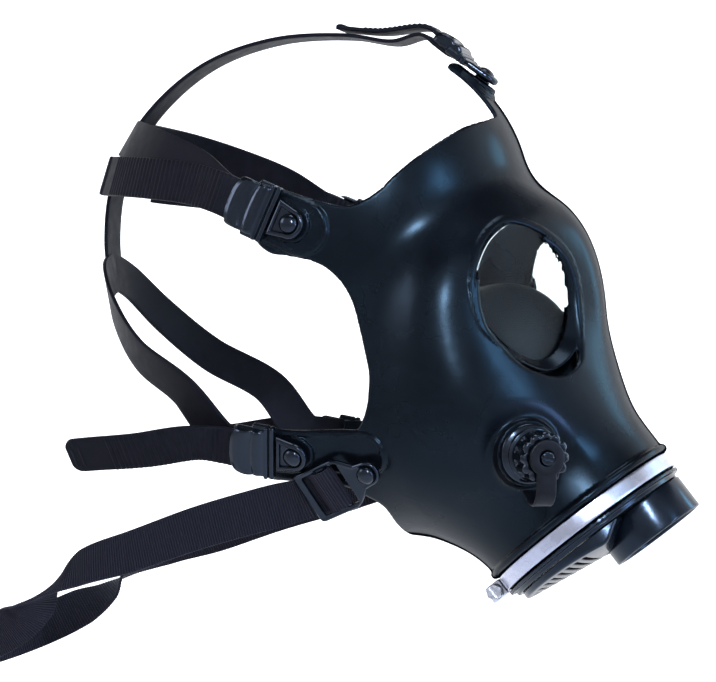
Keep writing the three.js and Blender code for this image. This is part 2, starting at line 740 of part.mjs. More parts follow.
function housingBase() {
  const plug = BORE - GAP;
  const skirt = plug - BASE_SKIRT;
  const rim = SLEEVE + BASE_RIM;
  const step = SLEEVE - BASE_STEP;
  const profile = [
    [0, FLANGE_LOW],
    [skirt, FLANGE_LOW],
    [skirt, -BASE_PLUG],
    [plug, -BASE_PLUG],
    [plug, FLANGE_LOW],
    [rim, FLANGE_LOW],
    [rim, PLATE_LOW],
    [step, PLATE_LOW],
    [step, PLATE_HIGH],
    [0, PLATE_HIGH],
  ];
  return cut(turned(profile, LARGE, snoutAt), disc(SOCKET_BORE, -NEAR, NEAR, MEDIUM, socketAt));
}

function filterSocket() {
  const top = FITTING_LOW + SOCKET_HEIGHT;
  const profile = [
    [SOCKET_BORE, FITTING_LOW],
    [SOCKET_RADIUS, FITTING_LOW],
    [SOCKET_RADIUS, top - SOCKET_CHAMFER],
    [SOCKET_RADIUS - SOCKET_CHAMFER, top],
    [SOCKET_BORE + SOCKET_CHAMFER, top],
    [SOCKET_BORE, top - SOCKET_CHAMFER],
  ];
  return turned(profile, MEDIUM, socketAt);
}

// The slotted cover: a tilted drum that slopes down before the socket.
function exhaustCover() {
  const clear = SOCKET_RADIUS + COVER_CLEAR;
  const rise = Math.tan(rad(COVER_TILT));
  const faceHeight = FITTING_LOW + COVER_LOW + rise * COVER_RADIUS;
  const leaning = (angle) => vec(0, Math.sin(rad(angle)), Math.cos(rad(angle))).transformDirection(snoutAt);
  const faceAt = frame(inFrame(snoutAt, 0, 0, faceHeight), vec(1, 0, 0), leaning(-COVER_TILT));
  const breakPoint = inFrame(snoutAt, 0, COVER_BREAK, faceHeight + rise * COVER_BREAK);
  const slopeAt = frame(breakPoint, vec(1, 0, 0), leaning(COVER_SLOPE));
  const above = (at, height) => block([-FAR, -FAR, height], [FAR, FAR, FAR], at);
  const outer = cut(
    disc(COVER_RADIUS, FITTING_LOW, 2 * NEAR, LARGE, snoutAt),
    above(faceAt, 0),
    above(slopeAt, 0),
    disc(clear, 0, 2 * NEAR, MEDIUM, socketAt),
  );
  const inner = cut(
    disc(COVER_RADIUS - COVER_SKIN, FITTING_LOW - COVER_SKIN, 2 * NEAR, LARGE, snoutAt),
    above(faceAt, -COVER_SKIN),
    above(slopeAt, -COVER_SKIN),
    disc(clear + COVER_SKIN, 0, 2 * NEAR, MEDIUM, socketAt),
  );
  const slots = [];
  for (let i = 0; i < SLOT_COUNT; i += 1) {
    const across = -SLOT_PITCH * (i + 0.9);
    const reach = (COVER_RADIUS - SLOT_MARGIN) ** 2 - across ** 2;
    const half = Math.sqrt(Math.max(reach, SLOT_LEAST ** 2)) - SLOT_MARGIN / 2;
    const [low, high] = [across - SLOT_WIDTH / 2, across + SLOT_WIDTH / 2];
    slots.push(block([-half, low, -2 * COVER_SKIN], [half, high, COVER_SKIN], faceAt));
  }
  return cut(outer, inner, union(...slots));
}

// Band clamp round the sleeve.
const BAND_IN = SLEEVE + GAP;
const BAND_OUT = BAND_IN + BAND_THICKNESS;
const WORM_MIDDLE = (WORM_LOW + WORM_HIGH) / 2;

function clampBand() {
  const [low, high] = [BAND_LOW, BAND_LOW + BAND_WIDTH];
  const ring = turned([[BAND_IN, low], [BAND_OUT, low], [BAND_OUT, high], [BAND_IN, high]], LARGE, snoutAt);
  const rings = [];
  for (let i = 0; i <= 6; i += 1) {
    const turn = rad(-90 + 11 + i * 2.4);
    const radius = BAND_IN + 0.3 + i * i * TAIL_CURL;
    const corner = (r, h) => inFrame(snoutAt, r * Math.cos(turn), r * Math.sin(turn), h);
    const outer = radius + BAND_TAIL;
    rings.push([corner(radius, low), corner(outer, low), corner(outer, high), corner(radius, high)]);
  }
  return union(ring, loft(rings));
}

const screwLine = BAND_OUT + 2 * GAP + WORM_STAND;

function clampHousing() {
  const foot = -BAND_OUT - GAP;
  const roof = -screwLine - WORM_ROOF;
  const saddle = [
    [-WORM_HALF, foot],
    [WORM_HALF, foot],
    [WORM_HALF, roof + 1],
    [WORM_HALF - 1, roof],
    [1 - WORM_HALF, roof],
    [-WORM_HALF, roof + 1],
  ];
  const body = prism(saddle, WORM_LOW, WORM_HIGH, snoutAt);
  const hole = frame(inFrame(snoutAt, 0, -screwLine, WORM_MIDDLE), snoutAxis, vec(1, 0, 0));
  return cut(body, disc(SCREW_RADIUS + GAP, -NEAR, NEAR, SMALL, hole));
}

function clampScrew() {
  const at = frame(inFrame(snoutAt, 0, -screwLine, WORM_MIDDLE), snoutAxis, vec(-1, 0, 0));
  const profile = [
    [0, -SCREW_TAIL],
    [SCREW_RADIUS, -SCREW_TAIL],
    [SCREW_RADIUS, SCREW_NECK],
    [SCREW_HEAD, SCREW_NECK],
    [SCREW_HEAD, SCREW_TOP - 0.8],
    [SCREW_HEAD - 0.6, SCREW_TOP],
    [0, SCREW_TOP],
  ];
  const driver = block([-NEAR, -0.5, SCREW_TOP - 1.2], [NEAR, 0.5, NEAR], at);
  return cut(turned(profile, LEAST + 4, at), driver);
}

// Cheek port, in heights over its boss.
const PORT_SEAT = BOSS_HIGH + GAP;
const CAP_LOW = PORT_SEAT + PORT_RING.high + GAP;
const CAP_HIGH = CAP_LOW + CAP_HEIGHT;
const TETHER_LOW = CAP_HIGH + GAP;

function portBody() {
  const rise = (height) => PORT_SEAT + height;
  const profile = [
    [PORT_BORE, -PORT_DEEP],
    [PORT_HOLE - GAP, -PORT_DEEP],
    [PORT_HOLE - GAP, PORT_SEAT],
    [PORT_FLANGE.radius, PORT_SEAT],
    [PORT_FLANGE.radius, rise(PORT_FLANGE.high)],
    [PORT_NECK.radius, rise(PORT_NECK.low)],
    [PORT_NECK.radius, rise(PORT_NECK.high)],
    [PORT_COLLAR.radius, rise(PORT_COLLAR.low)],
    [PORT_COLLAR.radius, rise(PORT_COLLAR.high)],
    [PORT_RING.radius, rise(PORT_RING.low)],
    [PORT_RING.radius, rise(PORT_RING.high)],
    [PORT_BORE, rise(PORT_RING.high)],
  ];
  return turned(profile, SMALL, portAt);
}

function portCap() {
  const floor = CAP_HIGH - CAP_WELL.deep;
  const profile = [
    [0, CAP_LOW],
    [CAP_RADIUS, CAP_LOW],
    [CAP_RADIUS, CAP_HIGH - CAP_EDGE],
    [CAP_RADIUS - CAP_EDGE, CAP_HIGH],
    [CAP_WELL.radius, CAP_HIGH],
    [CAP_WELL.radius, floor],
    [0, floor],
  ];
  const notches = [];
  for (let i = 0; i < CAP_NOTCHES; i += 1) {
    const turn = (2 * Math.PI * (i + 0.5)) / CAP_NOTCHES;
    const [a, b] = [CAP_RADIUS * Math.cos(turn), CAP_RADIUS * Math.sin(turn)];
    notches.push(prism(circle(a, b, NOTCH_RADIUS, 4), CAP_LOW + 2, CAP_HIGH + 2, portAt));
  }
  return cut(turned(profile, 2 * CAP_NOTCHES, portAt), union(...notches));
}

function portButton() {
  const foot = CAP_HIGH - BUTTON.foot;
  const top = TETHER_LOW + TETHER_THICKNESS + BUTTON.rise;
  const profile = [
    [0, foot],
    [BUTTON.radius, foot],
    [BUTTON.radius, top - BUTTON.edge],
    [BUTTON.radius - BUTTON.edge, top],
    [0, top],
  ];
  const slotAt = portAt.clone().multiply(new THREE.Matrix4().makeRotationZ(rad(77)));
  const slot = block([-NEAR, -BUTTON.slot / 2, top - BUTTON.slot], [NEAR, BUTTON.slot / 2, NEAR + top], slotAt);
  return cut(turned(profile, LEAST, portAt), slot);
}

// The rubber tether: an eye over the cap, and a tail that hangs down and curls back under the port.
function capTether() {
  const hole = [circle(0, 0, TETHER_EYE, LEAST)];
  const eye = prism(circle(0, 0, TETHER_DISC, SMALL), TETHER_LOW, TETHER_LOW + TETHER_THICKNESS, portAt, hole);
  const middle = TETHER_LOW + TETHER_THICKNESS / 2;
  const path = TETHER_PATH.map((row) => vec(-row.down, 0, middle + row.rise));
  const curve = new THREE.CatmullRomCurve3(path, false, "centripetal");
  const rings = curve.getPoints(10).map((p, i) => {
    const t = curve.getTangent(i / 10);
    const n = vec(-t.z, 0, t.x).multiplyScalar(TETHER_THICKNESS / 2 - TETHER_INSET);
    const corner = (side, sign) =>
      inFrame(portAt, p.x + sign * n.x, (side * TETHER_WIDTH) / 2, p.z + sign * n.z);
    return [corner(-1, -1), corner(1, -1), corner(1, 1), corner(-1, 1)];
  });
  return union(eye, loft(rings));
}

// Buckles, tongues and studs, in the frame of their fastening place.
const ARM_LIFT = GAP + STRAP_THICKNESS / 2 + 0.1;
const TAIL_LIFT = FRAME_HIGH + GAP + STRAP_THICKNESS / 2;
const CHEEK_IN = STRAP_WIDTH / 2 + CHEEK_CLEAR;
const CHEEK_OUT = CHEEK_IN + CHEEK_WALL;

// A buckle: an arched hood between two cheeks, a bar under it that the strap turns round, and an end flange.
function buckle(at) {
  const sideways = at.clone().multiply(frame(vec(0, 0, 0), vec(1, 0, 0), vec(0, -1, 0)));
  const [length, top, wall] = [BUCKLE_LENGTH, BUCKLE_TOP, HOOD_WALL];
  const foot = FRAME_LOW - 0.3;
  const hood = [
    [length, foot],
    [length, top - 3.4],
    [length - 2, top - 1],
    [length - 5, top],
    [6, top],
    [3.2, top - wall],
    [2.2, top - 3],
    [2.2, foot],
  ];
  const cavity = [
    [length + 1, 0],
    [length + 1, top - 1.3],
    [length - 5, top - wall],
    [6, top - wall],
    [3.5, top - 1.8],
    [3.2, top - 3],
    [3.2, 0],
  ];
  const cover = cut(prism(hood, -CHEEK_OUT, CHEEK_OUT, sideways), prism(cavity, -CHEEK_IN, CHEEK_IN, sideways));
  const flange = block([FLANGE.back, -FLANGE.half, FLANGE.low], [FLANGE.front, FLANGE.half, FLANGE.high], at);
  const reach = CHEEK_IN + CHEEK_WALL / 2;
  const bar = block([BUCKLE_BAR.start, -reach, FRAME_LOW], [BUCKLE_BAR.end, reach, FRAME_HIGH], at);
  return union(cover, flange, bar);
}

// A tongue: a plate round the stud with a raised rim.
function tongue(at) {
  const outline = (grow, back) => [
    [back, TONGUE.half + grow],
    ...arc(-STUD_SPACING, 0, TONGUE.round + grow, 90, 270, 6),
    [back, -TONGUE.half - grow],
  ];
  const hole = circle(-STUD_SPACING, 0, TONGUE.hole, LEAST);
  const plate = prism(outline(0, TONGUE.back), TONGUE.low, TONGUE.high, at, [hole]);
  const recess = prism(outline(-TONGUE.rim, TONGUE.back - TONGUE.rim), TONGUE.floor, 2 * TONGUE.high, at);
  return cut(plate, recess);
}

// The dome of a stud over its shank, as a profile.
const domeProfile = (radius, low) =>
  Array.from({ length: 3 }, (_, i) => {
    const turn = rad(38 * i);
    return [radius * Math.cos(turn), low + STUD_DOME * Math.sin(turn)];
  });

function stud(at) {
  const centre = at.clone().multiply(new THREE.Matrix4().makeTranslation(-STUD_SPACING, 0, 0));
  const under = TONGUE.floor + 0.4;
  const profile = [
    [0, GAP],
    [STUD_FOOT.radius, GAP],
    [STUD_FOOT.radius, STUD_FOOT.high],
    [STUD_SHANK, STUD_FOOT.high],
    [STUD_SHANK, under],
    ...domeProfile(STUD_RADIUS, under),
    [0, under + STUD_DOME],
  ];
  return turned(profile, LEAST, centre);
}

// Neck loop: an end with a stud's eye that widens to a slide with two windows and a bar between them.
function neckLoop() {
  const half = LOOP_WIDTH / 2;
  const end = LOOP_LENGTH;
  const { start: neck, half: waist, end: shoulder } = LOOP_NECK;
  const outline = [
    ...arc(0, 0, LOOP_EYE, 90, 270, 6),
    [neck, -waist],
    [shoulder, 1.5 - half],
    [shoulder + 3, -half],
    [end - LOOP_CORNER, -half],
    [end, LOOP_CORNER - half],
    [end, half - LOOP_CORNER],
    [end - LOOP_CORNER, half],
    [shoulder + 3, half],
    [shoulder, half - 1.5],
    [neck, waist],
  ];
  const windows = LOOP_WINDOWS.map((row) => oblong(row.start, row.end, WEB_WIDTH / 2 + 0.5));
  const holes = [circle(0, 0, TONGUE.hole, LEAST), ...windows];
  const plate = prism(outline, GAP, GAP + LOOP_THICKNESS, loopAt);
  return cut(plate, ...holes.map((hole) => prism(hole, -1, 2 * LOOP_THICKNESS, loopAt)));
}

function neckStud() {
  const top = GAP + LOOP_THICKNESS + GAP;
  const foot = 3 * GAP - LOOP_RISE;
  const profile = [
    [0, foot],
    [STUD_SHANK, foot],
    [STUD_SHANK, top],
    [LOOP_STUD, top],
    ...domeProfile(LOOP_STUD, top + 0.6),
    [0, top + 0.6 + STUD_DOME],
  ];
  return turned(profile, LEAST, loopAt);
}

// Ribbons.

// A flat ribbon through keys, each with a point and the way its face looks.
function ribbon(keys, width, thickness, steps) {
  const curve = new THREE.CatmullRomCurve3(keys.map((key) => key.p), false, "centripetal");
  const rings = [];
  for (let i = 0; i <= steps; i += 1) {
    const share = i / steps;
    const p = curve.getPoint(share);
    const t = curve.getTangent(share);
    const reach = Math.min(share * (keys.length - 1), keys.length - 1 - 1e-6);
    const k = Math.floor(reach);
    const n = keys[k].n.clone().lerp(keys[k + 1].n, reach - k);
    n.addScaledVector(t, -n.dot(t)).normalize();
    const s = t.clone().cross(n);
    const corner = (a, b) =>
      p.clone().addScaledVector(s, (a * width) / 2).addScaledVector(n, (b * thickness) / 2);
    rings.push([corner(-1, -1), corner(1, -1), corner(1, 1), corner(-1, 1)]);
  }
  return loft(rings);
}

const alongHead = (q) => headDistance(q);

// A key that lies on the head at a lift.
function onHead(row, lift, side = 1) {
  const from = vec(0, 0, FORMS.skull.z * HZ);
  const p = meet(alongHead, from, place(row).sub(from).normalize(), lift, HEAD_LENGTH);
  return { p, n: outward(alongHead, p).multiplyScalar(side) };
}

// A key that hangs free, its face turned as the head's would be there.
function hanging(row, side = 1) {
  const p = place(row);
  return { p, n: outward(alongHead, p).multiplyScalar(side) };
}

// Keys through a buckle: in under the frame, round its bar and out over it.
function throughBuckle(at) {
  const key = (u, w, turn) => ({
    p: inFrame(at, u, 0, w),
    n: vec(Math.sin(turn), 0, Math.cos(turn)).transformDirection(at),
  });
  const middle = (ARM_LIFT + TAIL_LIFT) / 2;
  const radius = (TAIL_LIFT - ARM_LIFT) / 2;
  const keys = [key(RUN_FAR, ARM_LIFT, 0), key(RUN_NEAR, ARM_LIFT, 0)];
  for (let i = 0; i <= 4; i += 1) {
    const turn = (Math.PI * i) / 4;
    keys.push(key(TURN_AT - radius * Math.sin(turn), middle - radius * Math.cos(turn), turn));
  }
  return [...keys, key(RUN_NEAR, TAIL_LIFT, Math.PI), key(RUN_FAR, TAIL_LIFT, Math.PI)];
}

const ARM_ON_HEAD = STRAP_THICKNESS / 2 + STRAP_LIFT;
const TAIL_ON_HEAD = ARM_ON_HEAD + TAIL_RISE;

// One strap: its arm from behind the head, its turn through the buckle, and its tail.
function strap(arm, at, tail) {
  const keys = [...arm.reverse(), ...throughBuckle(at), ...tail];
  return ribbon(keys, STRAP_WIDTH, STRAP_THICKNESS, Math.round((keys.length - 1) * 1.25));
}

function harness() {
  const laid = (rows) => rows.map((row) => onHead(row, ARM_ON_HEAD));
  const over = (rows) => rows.map((row) => onHead(row, TAIL_ON_HEAD, -1));
  const temple = strap(laid(TEMPLE_ARM), templeAt, over([...TEMPLE_TAIL, TEMPLE_TIP]));
  const jawArm = JAW_ARM.map((row) => hanging(row));
  const jawTail = [...JAW_TAIL, JAW_TIP].map((row) => hanging(row, -1));
  const jaw = strap(jawArm, jawAt, jawTail);
  const top = strap(laid(TOP_ARM), topAt, over([...TOP_TAIL, TOP_TIP]));
  return union(both(union(temple, jaw)), top);
}

// Neck strap: from over the bar of one loop, round the back and over the bar of the other.
function neckStrap() {
  const start = 3 * GAP + LOOP_THICKNESS + WEB_THICKNESS / 2;
  const near = WEB_RUN.map((row) => ({
    p: inFrame(loopAt, row.along, row.down, start + row.rise),
    n: vec(-Math.sin(rad(row.turn)), 0, Math.cos(rad(row.turn))).transformDirection(loopAt),
  }));
  const rest = NECK_PATH.map((row) => {
    const p = place(row);
    const out = vec(p.x / HX ** 2, (Math.max(p.y, 0) / HY ** 2) * (row.x === 0 ? 1 : 0.8), 0).normalize();
    const lean = rad(row.lean);
    return { p, n: out.multiplyScalar(Math.cos(lean)).add(vec(0, 0, Math.sin(lean))) };
  });
  const right = [...near, ...rest];
  const across = (v) => vec(-v.x, v.y, v.z);
  const left = right.slice(0, -1).reverse().map(({ p, n }) => ({ p: across(p), n: across(n) }));
  const keys = [...right, ...left];
  return ribbon(keys, WEB_WIDTH, WEB_THICKNESS, (keys.length - 1) * 2);
}

// Looks and names.
const look = (color, roughness, metalness) => ({ color, roughness, metalness });
const RUBBER = look(0x1b2129, 0.42, 0);
const STRAP_RUBBER = look(0x17171b, 0.5, 0);
const PLASTIC = look(0x0d1117, 0.22, 0);
const STEEL = look(0xc9ccd6, 0.3, 1);
const WEBBING = look(0x17151c, 0.85, 0);
const CLEAR = look(0xd5dde0, 0.08, 0);

const mask = new THREE.Group();
mask.name = "gas_mask";

function add(name, geometry, finish) {
  const material = new THREE.MeshStandardMaterial(finish);
  material.name = name;
  const mesh = new THREE.Mesh(geometry, material);
  mesh.name = name;
  mask.add(mesh);
}

function addPair(name, body, finish) {
  const geometry = geometryOf(body);
  add(`${name}_right`, geometry, finish);
  add(`${name}_left`, mirrored(geometry), finish);
}

const addOne = (name, body, finish) => add(name, geometryOf(body), finish);

addOne("facepiece", facepiece(), RUBBER);
addPair("lens", lensBody(), CLEAR);
addOne("nose_cup", noseCup(), RUBBER);
addOne("housing_base", housingBase(), PLASTIC);
addOne("exhaust_cover", exhaustCover(), PLASTIC);
addOne("filter_socket", filterSocket(), PLASTIC);
addOne("clamp_band", clampBand(), STEEL);
addOne("clamp_housing", clampHousing(), STEEL);
addOne("clamp_screw", clampScrew(), STEEL);
addOne("port_body", portBody(), PLASTIC);
addOne("port_cap", portCap(), PLASTIC);
addOne("port_button", portButton(), PLASTIC);
addOne("cap_tether", capTether(), RUBBER);
addOne("harness", harness(), STRAP_RUBBER);
addOne("buckle_top", buckle(topAt), PLASTIC);
addOne("tongue_top", tongue(topAt), PLASTIC);
addOne("stud_top", stud(topAt), PLASTIC);
addPair("buckle_temple", buckle(templeAt), PLASTIC);
addPair("tongue_temple", tongue(templeAt), PLASTIC);
addPair("stud_temple", stud(templeAt), PLASTIC);
addPair("buckle_jaw", buckle(jawAt), PLASTIC);
addPair("tongue_jaw", tongue(jawAt), PLASTIC);
addPair("stud_jaw", stud(jawAt), PLASTIC);
addPair("neck_loop", neckLoop(), PLASTIC);
addPair("neck_stud", neckStud(), PLASTIC);
addOne("neck_strap", neckStrap(), WEBBING);

export default mask;
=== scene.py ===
"""Looks of a gas mask style costume mask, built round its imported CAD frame.

Lengths are in millimetres until a mesh is made. A frame is a 4x4 matrix whose last column is its origin."""
import math
from itertools import product

import bmesh
import bpy
import numpy as np
from mathutils import Matrix


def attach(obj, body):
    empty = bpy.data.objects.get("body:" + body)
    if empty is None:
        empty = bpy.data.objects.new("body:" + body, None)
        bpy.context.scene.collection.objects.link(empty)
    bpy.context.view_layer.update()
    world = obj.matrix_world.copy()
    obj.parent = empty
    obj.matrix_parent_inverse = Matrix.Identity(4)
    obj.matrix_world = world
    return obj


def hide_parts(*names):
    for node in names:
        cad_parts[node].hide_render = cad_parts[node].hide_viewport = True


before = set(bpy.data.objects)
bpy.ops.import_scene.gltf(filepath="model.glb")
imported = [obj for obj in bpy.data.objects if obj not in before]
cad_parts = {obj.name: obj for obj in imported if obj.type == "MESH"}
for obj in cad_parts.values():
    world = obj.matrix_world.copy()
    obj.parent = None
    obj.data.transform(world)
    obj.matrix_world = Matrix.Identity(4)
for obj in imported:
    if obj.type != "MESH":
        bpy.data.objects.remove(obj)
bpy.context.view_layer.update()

MM = 0.001
rad = math.radians

# The head that the mask is made for, and the sizes that the solids share with these surfaces.
HX, HY, HZ = 77.0, 97.0, 103.0
WALL, GAP, PATCH_RISE = 2.2, 0.35, 1.2
SNOUT_RADIUS, SNOUT_DEPTH, SNOUT_DROP = 49.0, 70.0, rad(52)
SLEEVE, BORE, SLEEVE_LENGTH = 47.0, 44.4, 8.2
SOCKET_RADIUS, SOCKET_BORE, SOCKET_HIGH = 23.4, 20.4, 29.1
SOCKET_OFFSET = SNOUT_RADIUS - SOCKET_RADIUS - 2.3
COVER_RADIUS, COVER_LOW, COVER_WALL, COVER_TILT = 43.5, 12.7, 1.8, 8
SLOT_PITCH, SLOT_COUNT, SLOT_HALF = 4.7, 8, 0.95
EYE_HEIGHT, EYE_TAPER, EYE_SEAT, EYE_WELL = 69.0, 4.5, 5.5, 9.1
PANE_THICKNESS = 1.7
STRAP_WIDTH, STRAP_THICKNESS = 19.0, 1.8
STUD_SPACING, STUD_HOLE, STUD_SHANK = 10.6, 3.15, 2.6
LOOP_RISE, LOOP_THICKNESS = 3.2, 2.2
WEB_WIDTH, WEB_THICKNESS = 20.0, 1.6
BAND_RADIUS, BAND_WIDTH, BAND_THICKNESS, BAND_MIDDLE = 47.85, 7.0, 1.0, 4.0
WORM_MIDDLE, WORM_LINE, WORM_PITCH = 3.95, 48.35 + 0.7 + 4.2, 1.8
TETHER_LOW, TETHER_WIDTH, TETHER_DISC, TETHER_EYE = 23.75, 9.3, 8.1, 3.5

# Low relief that only these surfaces carry.
EDGE_ROUND, EYE_ROUND, PATCH_FILLET, PATCH_RIM = 1.6, 2.2, 0.9, 0.35
RIB_PITCH, RIB_HEIGHT, TIP_CORNER = 2.4, 0.52, 4.8
WEFT_PITCH = 1.25
BAND_SLOT_PITCH, THREAD_PITCH, NOTCHES = 2.6, 2.6, 12
JAW_BUCKLE_LEAN = rad(8)

# Round forms: y and z of the centre, radii across and along, and heights above and below, as shares of half sizes.
FORMS = {
    "skull": (0, 0.272, 1, 1, 0.883, 1.117),
    "forehead": (-0.381, 0.427, 0.909, 0.691, 0.66, 0.66),
    "jaw": (-0.21, -0.466, 0.883, 0.77, 0.655, 0.655),
    "dome": (-0.918, -0.16, 1.039, 0.665, 0.665, 0.665),
    "cheek": (-0.804, -0.563, 0.987, 0.68, 0.573, 0.573),
    "nose_tip": (-1.0, -0.29, 0.29, 0.34, 0.32, 0.32),
    "nose_base": (-0.95, -0.62, 0.47, 0.45, 0.42, 0.42),
}

# Rear edge of the rubber from forehead to chin, seen from the side, as shares of the half sizes.
REAR_EDGE = [
    (-1.02, 0.83), (-0.963, 0.755), (-0.93, 0.736), (-0.879, 0.704), (-0.809, 0.645), (-0.713, 0.566),
    (-0.611, 0.472), (-0.57, 0.428), (-0.491, 0.376), (-0.414, 0.354), (-0.309, 0.373), (-0.243, 0.39),
    (-0.128, 0.425), (-0.075, 0.446), (0.02, 0.22), (-0.054, 0.149), (-0.13, 0.135), (-0.209, 0.122),
    (-0.302, 0.091), (-0.377, 0.026), (-0.426, -0.056), (-0.459, -0.165), (-0.488, -0.274), (-0.51, -0.374),
    (-0.508, -0.448), (-0.499, -0.521), (-0.448, -0.622), (-0.376, -0.658), (-0.291, -0.646),
    (-0.154, -0.632), (-0.035, -0.63), (0.035, -0.835), (-0.138, -0.859), (-0.36, -0.883), (-0.44, -0.922),
    (-0.516, -0.972), (-0.542, -1.063), (-0.566, -1.2),
]

# Rim of an eye opening: across towards the nose and up, as shares of its half height.
EYE_RIM = [
    (-0.971, 0.043), (-0.843, 0.458), (-0.62, 0.76), (-0.255, 0.954), (0.255, 0.838), (0.67, 0.516),
    (0.81, 0.09), (0.812, -0.241), (0.704, -0.652), (0.487, -0.904), (0.159, -1.02), (-0.165, -0.954),
    (-0.43, -0.829), (-0.7, -0.64), (-0.87, -0.446),
]

# Paths of the harness and the neck strap, as shares of the half sizes. The last figure of a neck row is its lean.
TEMPLE_ARM = [(-0.93, 0.34, 0.53), (-0.76, 0.56, 0.62), (-0.53, 0.74, 0.68), (-0.32, 0.836, 0.704), (0.03, 0.88, 0.71)]
TEMPLE_TAIL = [
    (-0.95, 0.34, 0.455), (-0.85, 0.527, 0.48), (-0.7, 0.71, 0.5), (-0.5, 0.86, 0.515), (-0.44, 0.89, 0.519),
]
JAW_ARM = [(-0.88, 0.4, -0.46), (-0.7, 0.67, -0.3), (-0.46, 0.86, -0.115), (-0.22, 0.97, 0.04), (0.03, 1, 0.1)]
JAW_TAIL = [(-0.94, 0.34, -0.685), (-0.93, 0.6, -0.72), (-0.9, 0.85, -0.74), (-0.89, 0.97, -0.75)]
TOP_ARM = [
    (0, -0.43, 1.08), (0, -0.22, 1.14), (0, 0.15, 1.15), (0, 0.5, 1.02), (0, 0.8, 0.78), (0, 0.95, 0.5),
    (0, 1, 0.24), (0, 1, 0),
]
TOP_TAIL = [(0, -0.36, 1.11), (0, -0.17, 1.16)]
NECK_PATH = [
    (-0.79, 0.05, -0.985, 4), (-0.82, 0.34, -1.065, 6), (-0.82, 0.67, -1.175, 10), (-0.78, 0.95, -1.26, 24),
    (-0.72, 1.12, -1.36, 72), (-0.66, 1.23, -1.47, 108), (-0.58, 1.35, -1.54, 140), (-0.4, 1.56, -1.64, 168),
    (0, 1.68, -1.69, 180),
]

# Run of the webbing through a loop plate: along it, across it, height over its face, and lean in degrees.
LOOP_RUN = [
    (16, 0, -4.65, 90), (16, 0, -1.4, 90), (17.6, 0, -0.1, 45), (19.5, 0, 0, 0), (23, 0, -0.5, 0), (28.4, 0, -5.2, 0),
    (32.5, 0, -5.5, 0), (39, -0.8, -4.5, 0),
]

# Side view of a buckle's hood and of the room in it, and the profiles of the turned pieces as radius and height.
HOOD = [
    (20.5, 2.5), (20.5, 5), (19.9, 6.6), (18.7, 7.6), (16.8, 8.4), (14.4, 8.7), (12, 8.5), (10.3, 8.0), (9.2, 7.4),
    (8.6, 7.45), (7.6, 7.85), (6.2, 7.95), (4.8, 7.75), (3.4, 7.1), (2.4, 6), (2.2, 2.5),
]
HOOD_ROOM = [(22, 0), (22, 7.0), (6, 6.95), (3.6, 6.4), (3.2, 5.4), (3.2, 0)]
PORT_TUBE = [
    (4, -9), (9.05, -9), (9.05, 2.95), (13.5, 2.95), (13.5, 4.4), (12.9, 4.95), (11, 5.75), (11, 7.95), (12, 8.35),
    (12, 9.95), (10, 10.35), (10, 12.55), (4, 12.55),
]
PORT_CAP = [
    (0, 12.9), (11.5, 12.9), (11.5, 14.2), (11.5, 15.2), (11.5, 18.5), (11.5, 22.3), (10.4, 23.4), (8.8, 23.4),
    (8.5, 22.9), (4.6, 22.9), (3.8, 23.4), (3.8, 18.4), (0, 18.4),
]
SOCKET = [
    (SOCKET_BORE, COVER_LOW), (SOCKET_RADIUS, COVER_LOW), (SOCKET_RADIUS, 28.5), (22.9, SOCKET_HIGH),
    (21.5, SOCKET_HIGH), (20.9, 28.4), *[(20.9, height) for height in np.linspace(27, 14, 36)], (SOCKET_BORE, 13.6),
]
TETHER_RUN = [(5, 0), (12, 0), (17, -0.6), (20.6, -4), (20.4, -9), (18.4, -13), (16.4, -17)]


# Distances to the forms, as whole arrays.

def unit(v):
    v = np.asarray(v, float)
    return v / np.linalg.norm(v, axis=-1, keepdims=True)


def round_distance(x, y, z, name, grow=0.0):
    """Distance to an ellipsoid: k (k - 1) / |k'|, with k the radius as a share of its surface's."""
    cy, cz, sx, sy, above, below = FORMS[name]
    dy, dz = y - cy * HY, z - cz * HZ
    rx, ry = sx * HX + grow, sy * HY + grow
    rz = np.where(dz < 0, below, above) * HZ + grow
    near = np.sqrt((x / rx) ** 2 + (dy / ry) ** 2 + (dz / rz) ** 2)
    steep = np.sqrt((x / rx**2) ** 2 + (dy / ry**2) ** 2 + (dz / rz**2) ** 2)
    return near * (near - 1) / np.maximum(steep, 1e-9)


def blend(a, b, width):
    """The smaller of two distances, less a quarter of h squared times the width where they are within it."""
    h = np.maximum(width - np.abs(a - b), 0) / width
    return np.minimum(a, b) - h * h * width / 4


def carve(a, b, width):
    """The larger of two distances, rounded in the same way."""
    return -blend(-a, -b, width)


def spot(share):
    return np.array([share[0] * HX, share[1] * HY, share[2] * HZ])


skull_middle = np.array([0, 0, FORMS["skull"][1] * HZ])
eye_point = spot((-0.584, -1.242, -0.019))
eye_normal = unit([-0.6, -0.79, 0.03])
snout_point = spot((0, -1.374, -1.022))
snout_axis = np.array([0, -math.cos(SNOUT_DROP), -math.sin(SNOUT_DROP)])
port_point = spot((-0.774, -1.23, -0.719))
port_normal = unit([-0.843, -0.535, -0.056])
dimple_point = port_point + 36 * np.array([-0.81, -0.53, -0.25])


def head_distance(x, y, z, grow=0.0):
    return blend(round_distance(x, y, z, "skull", grow), round_distance(x, y, z, "forehead", grow), 20)


def snout_polar(x, y, z):
    """Distance along the snout's axis and away from it."""
    dx, dy, dz = x - snout_point[0], y - snout_point[1], z - snout_point[2]
    along = dx * snout_axis[0] + dy * snout_axis[1] + dz * snout_axis[2]
    away = np.sqrt(np.maximum(dx**2 + dy**2 + dz**2 - along**2, 0))
    return along, away


def eye_plane(x, y, z):
    nx, ny, nz = eye_normal
    return (x - eye_point[0]) * nx + (y - eye_point[1]) * ny + (z - eye_point[2]) * nz


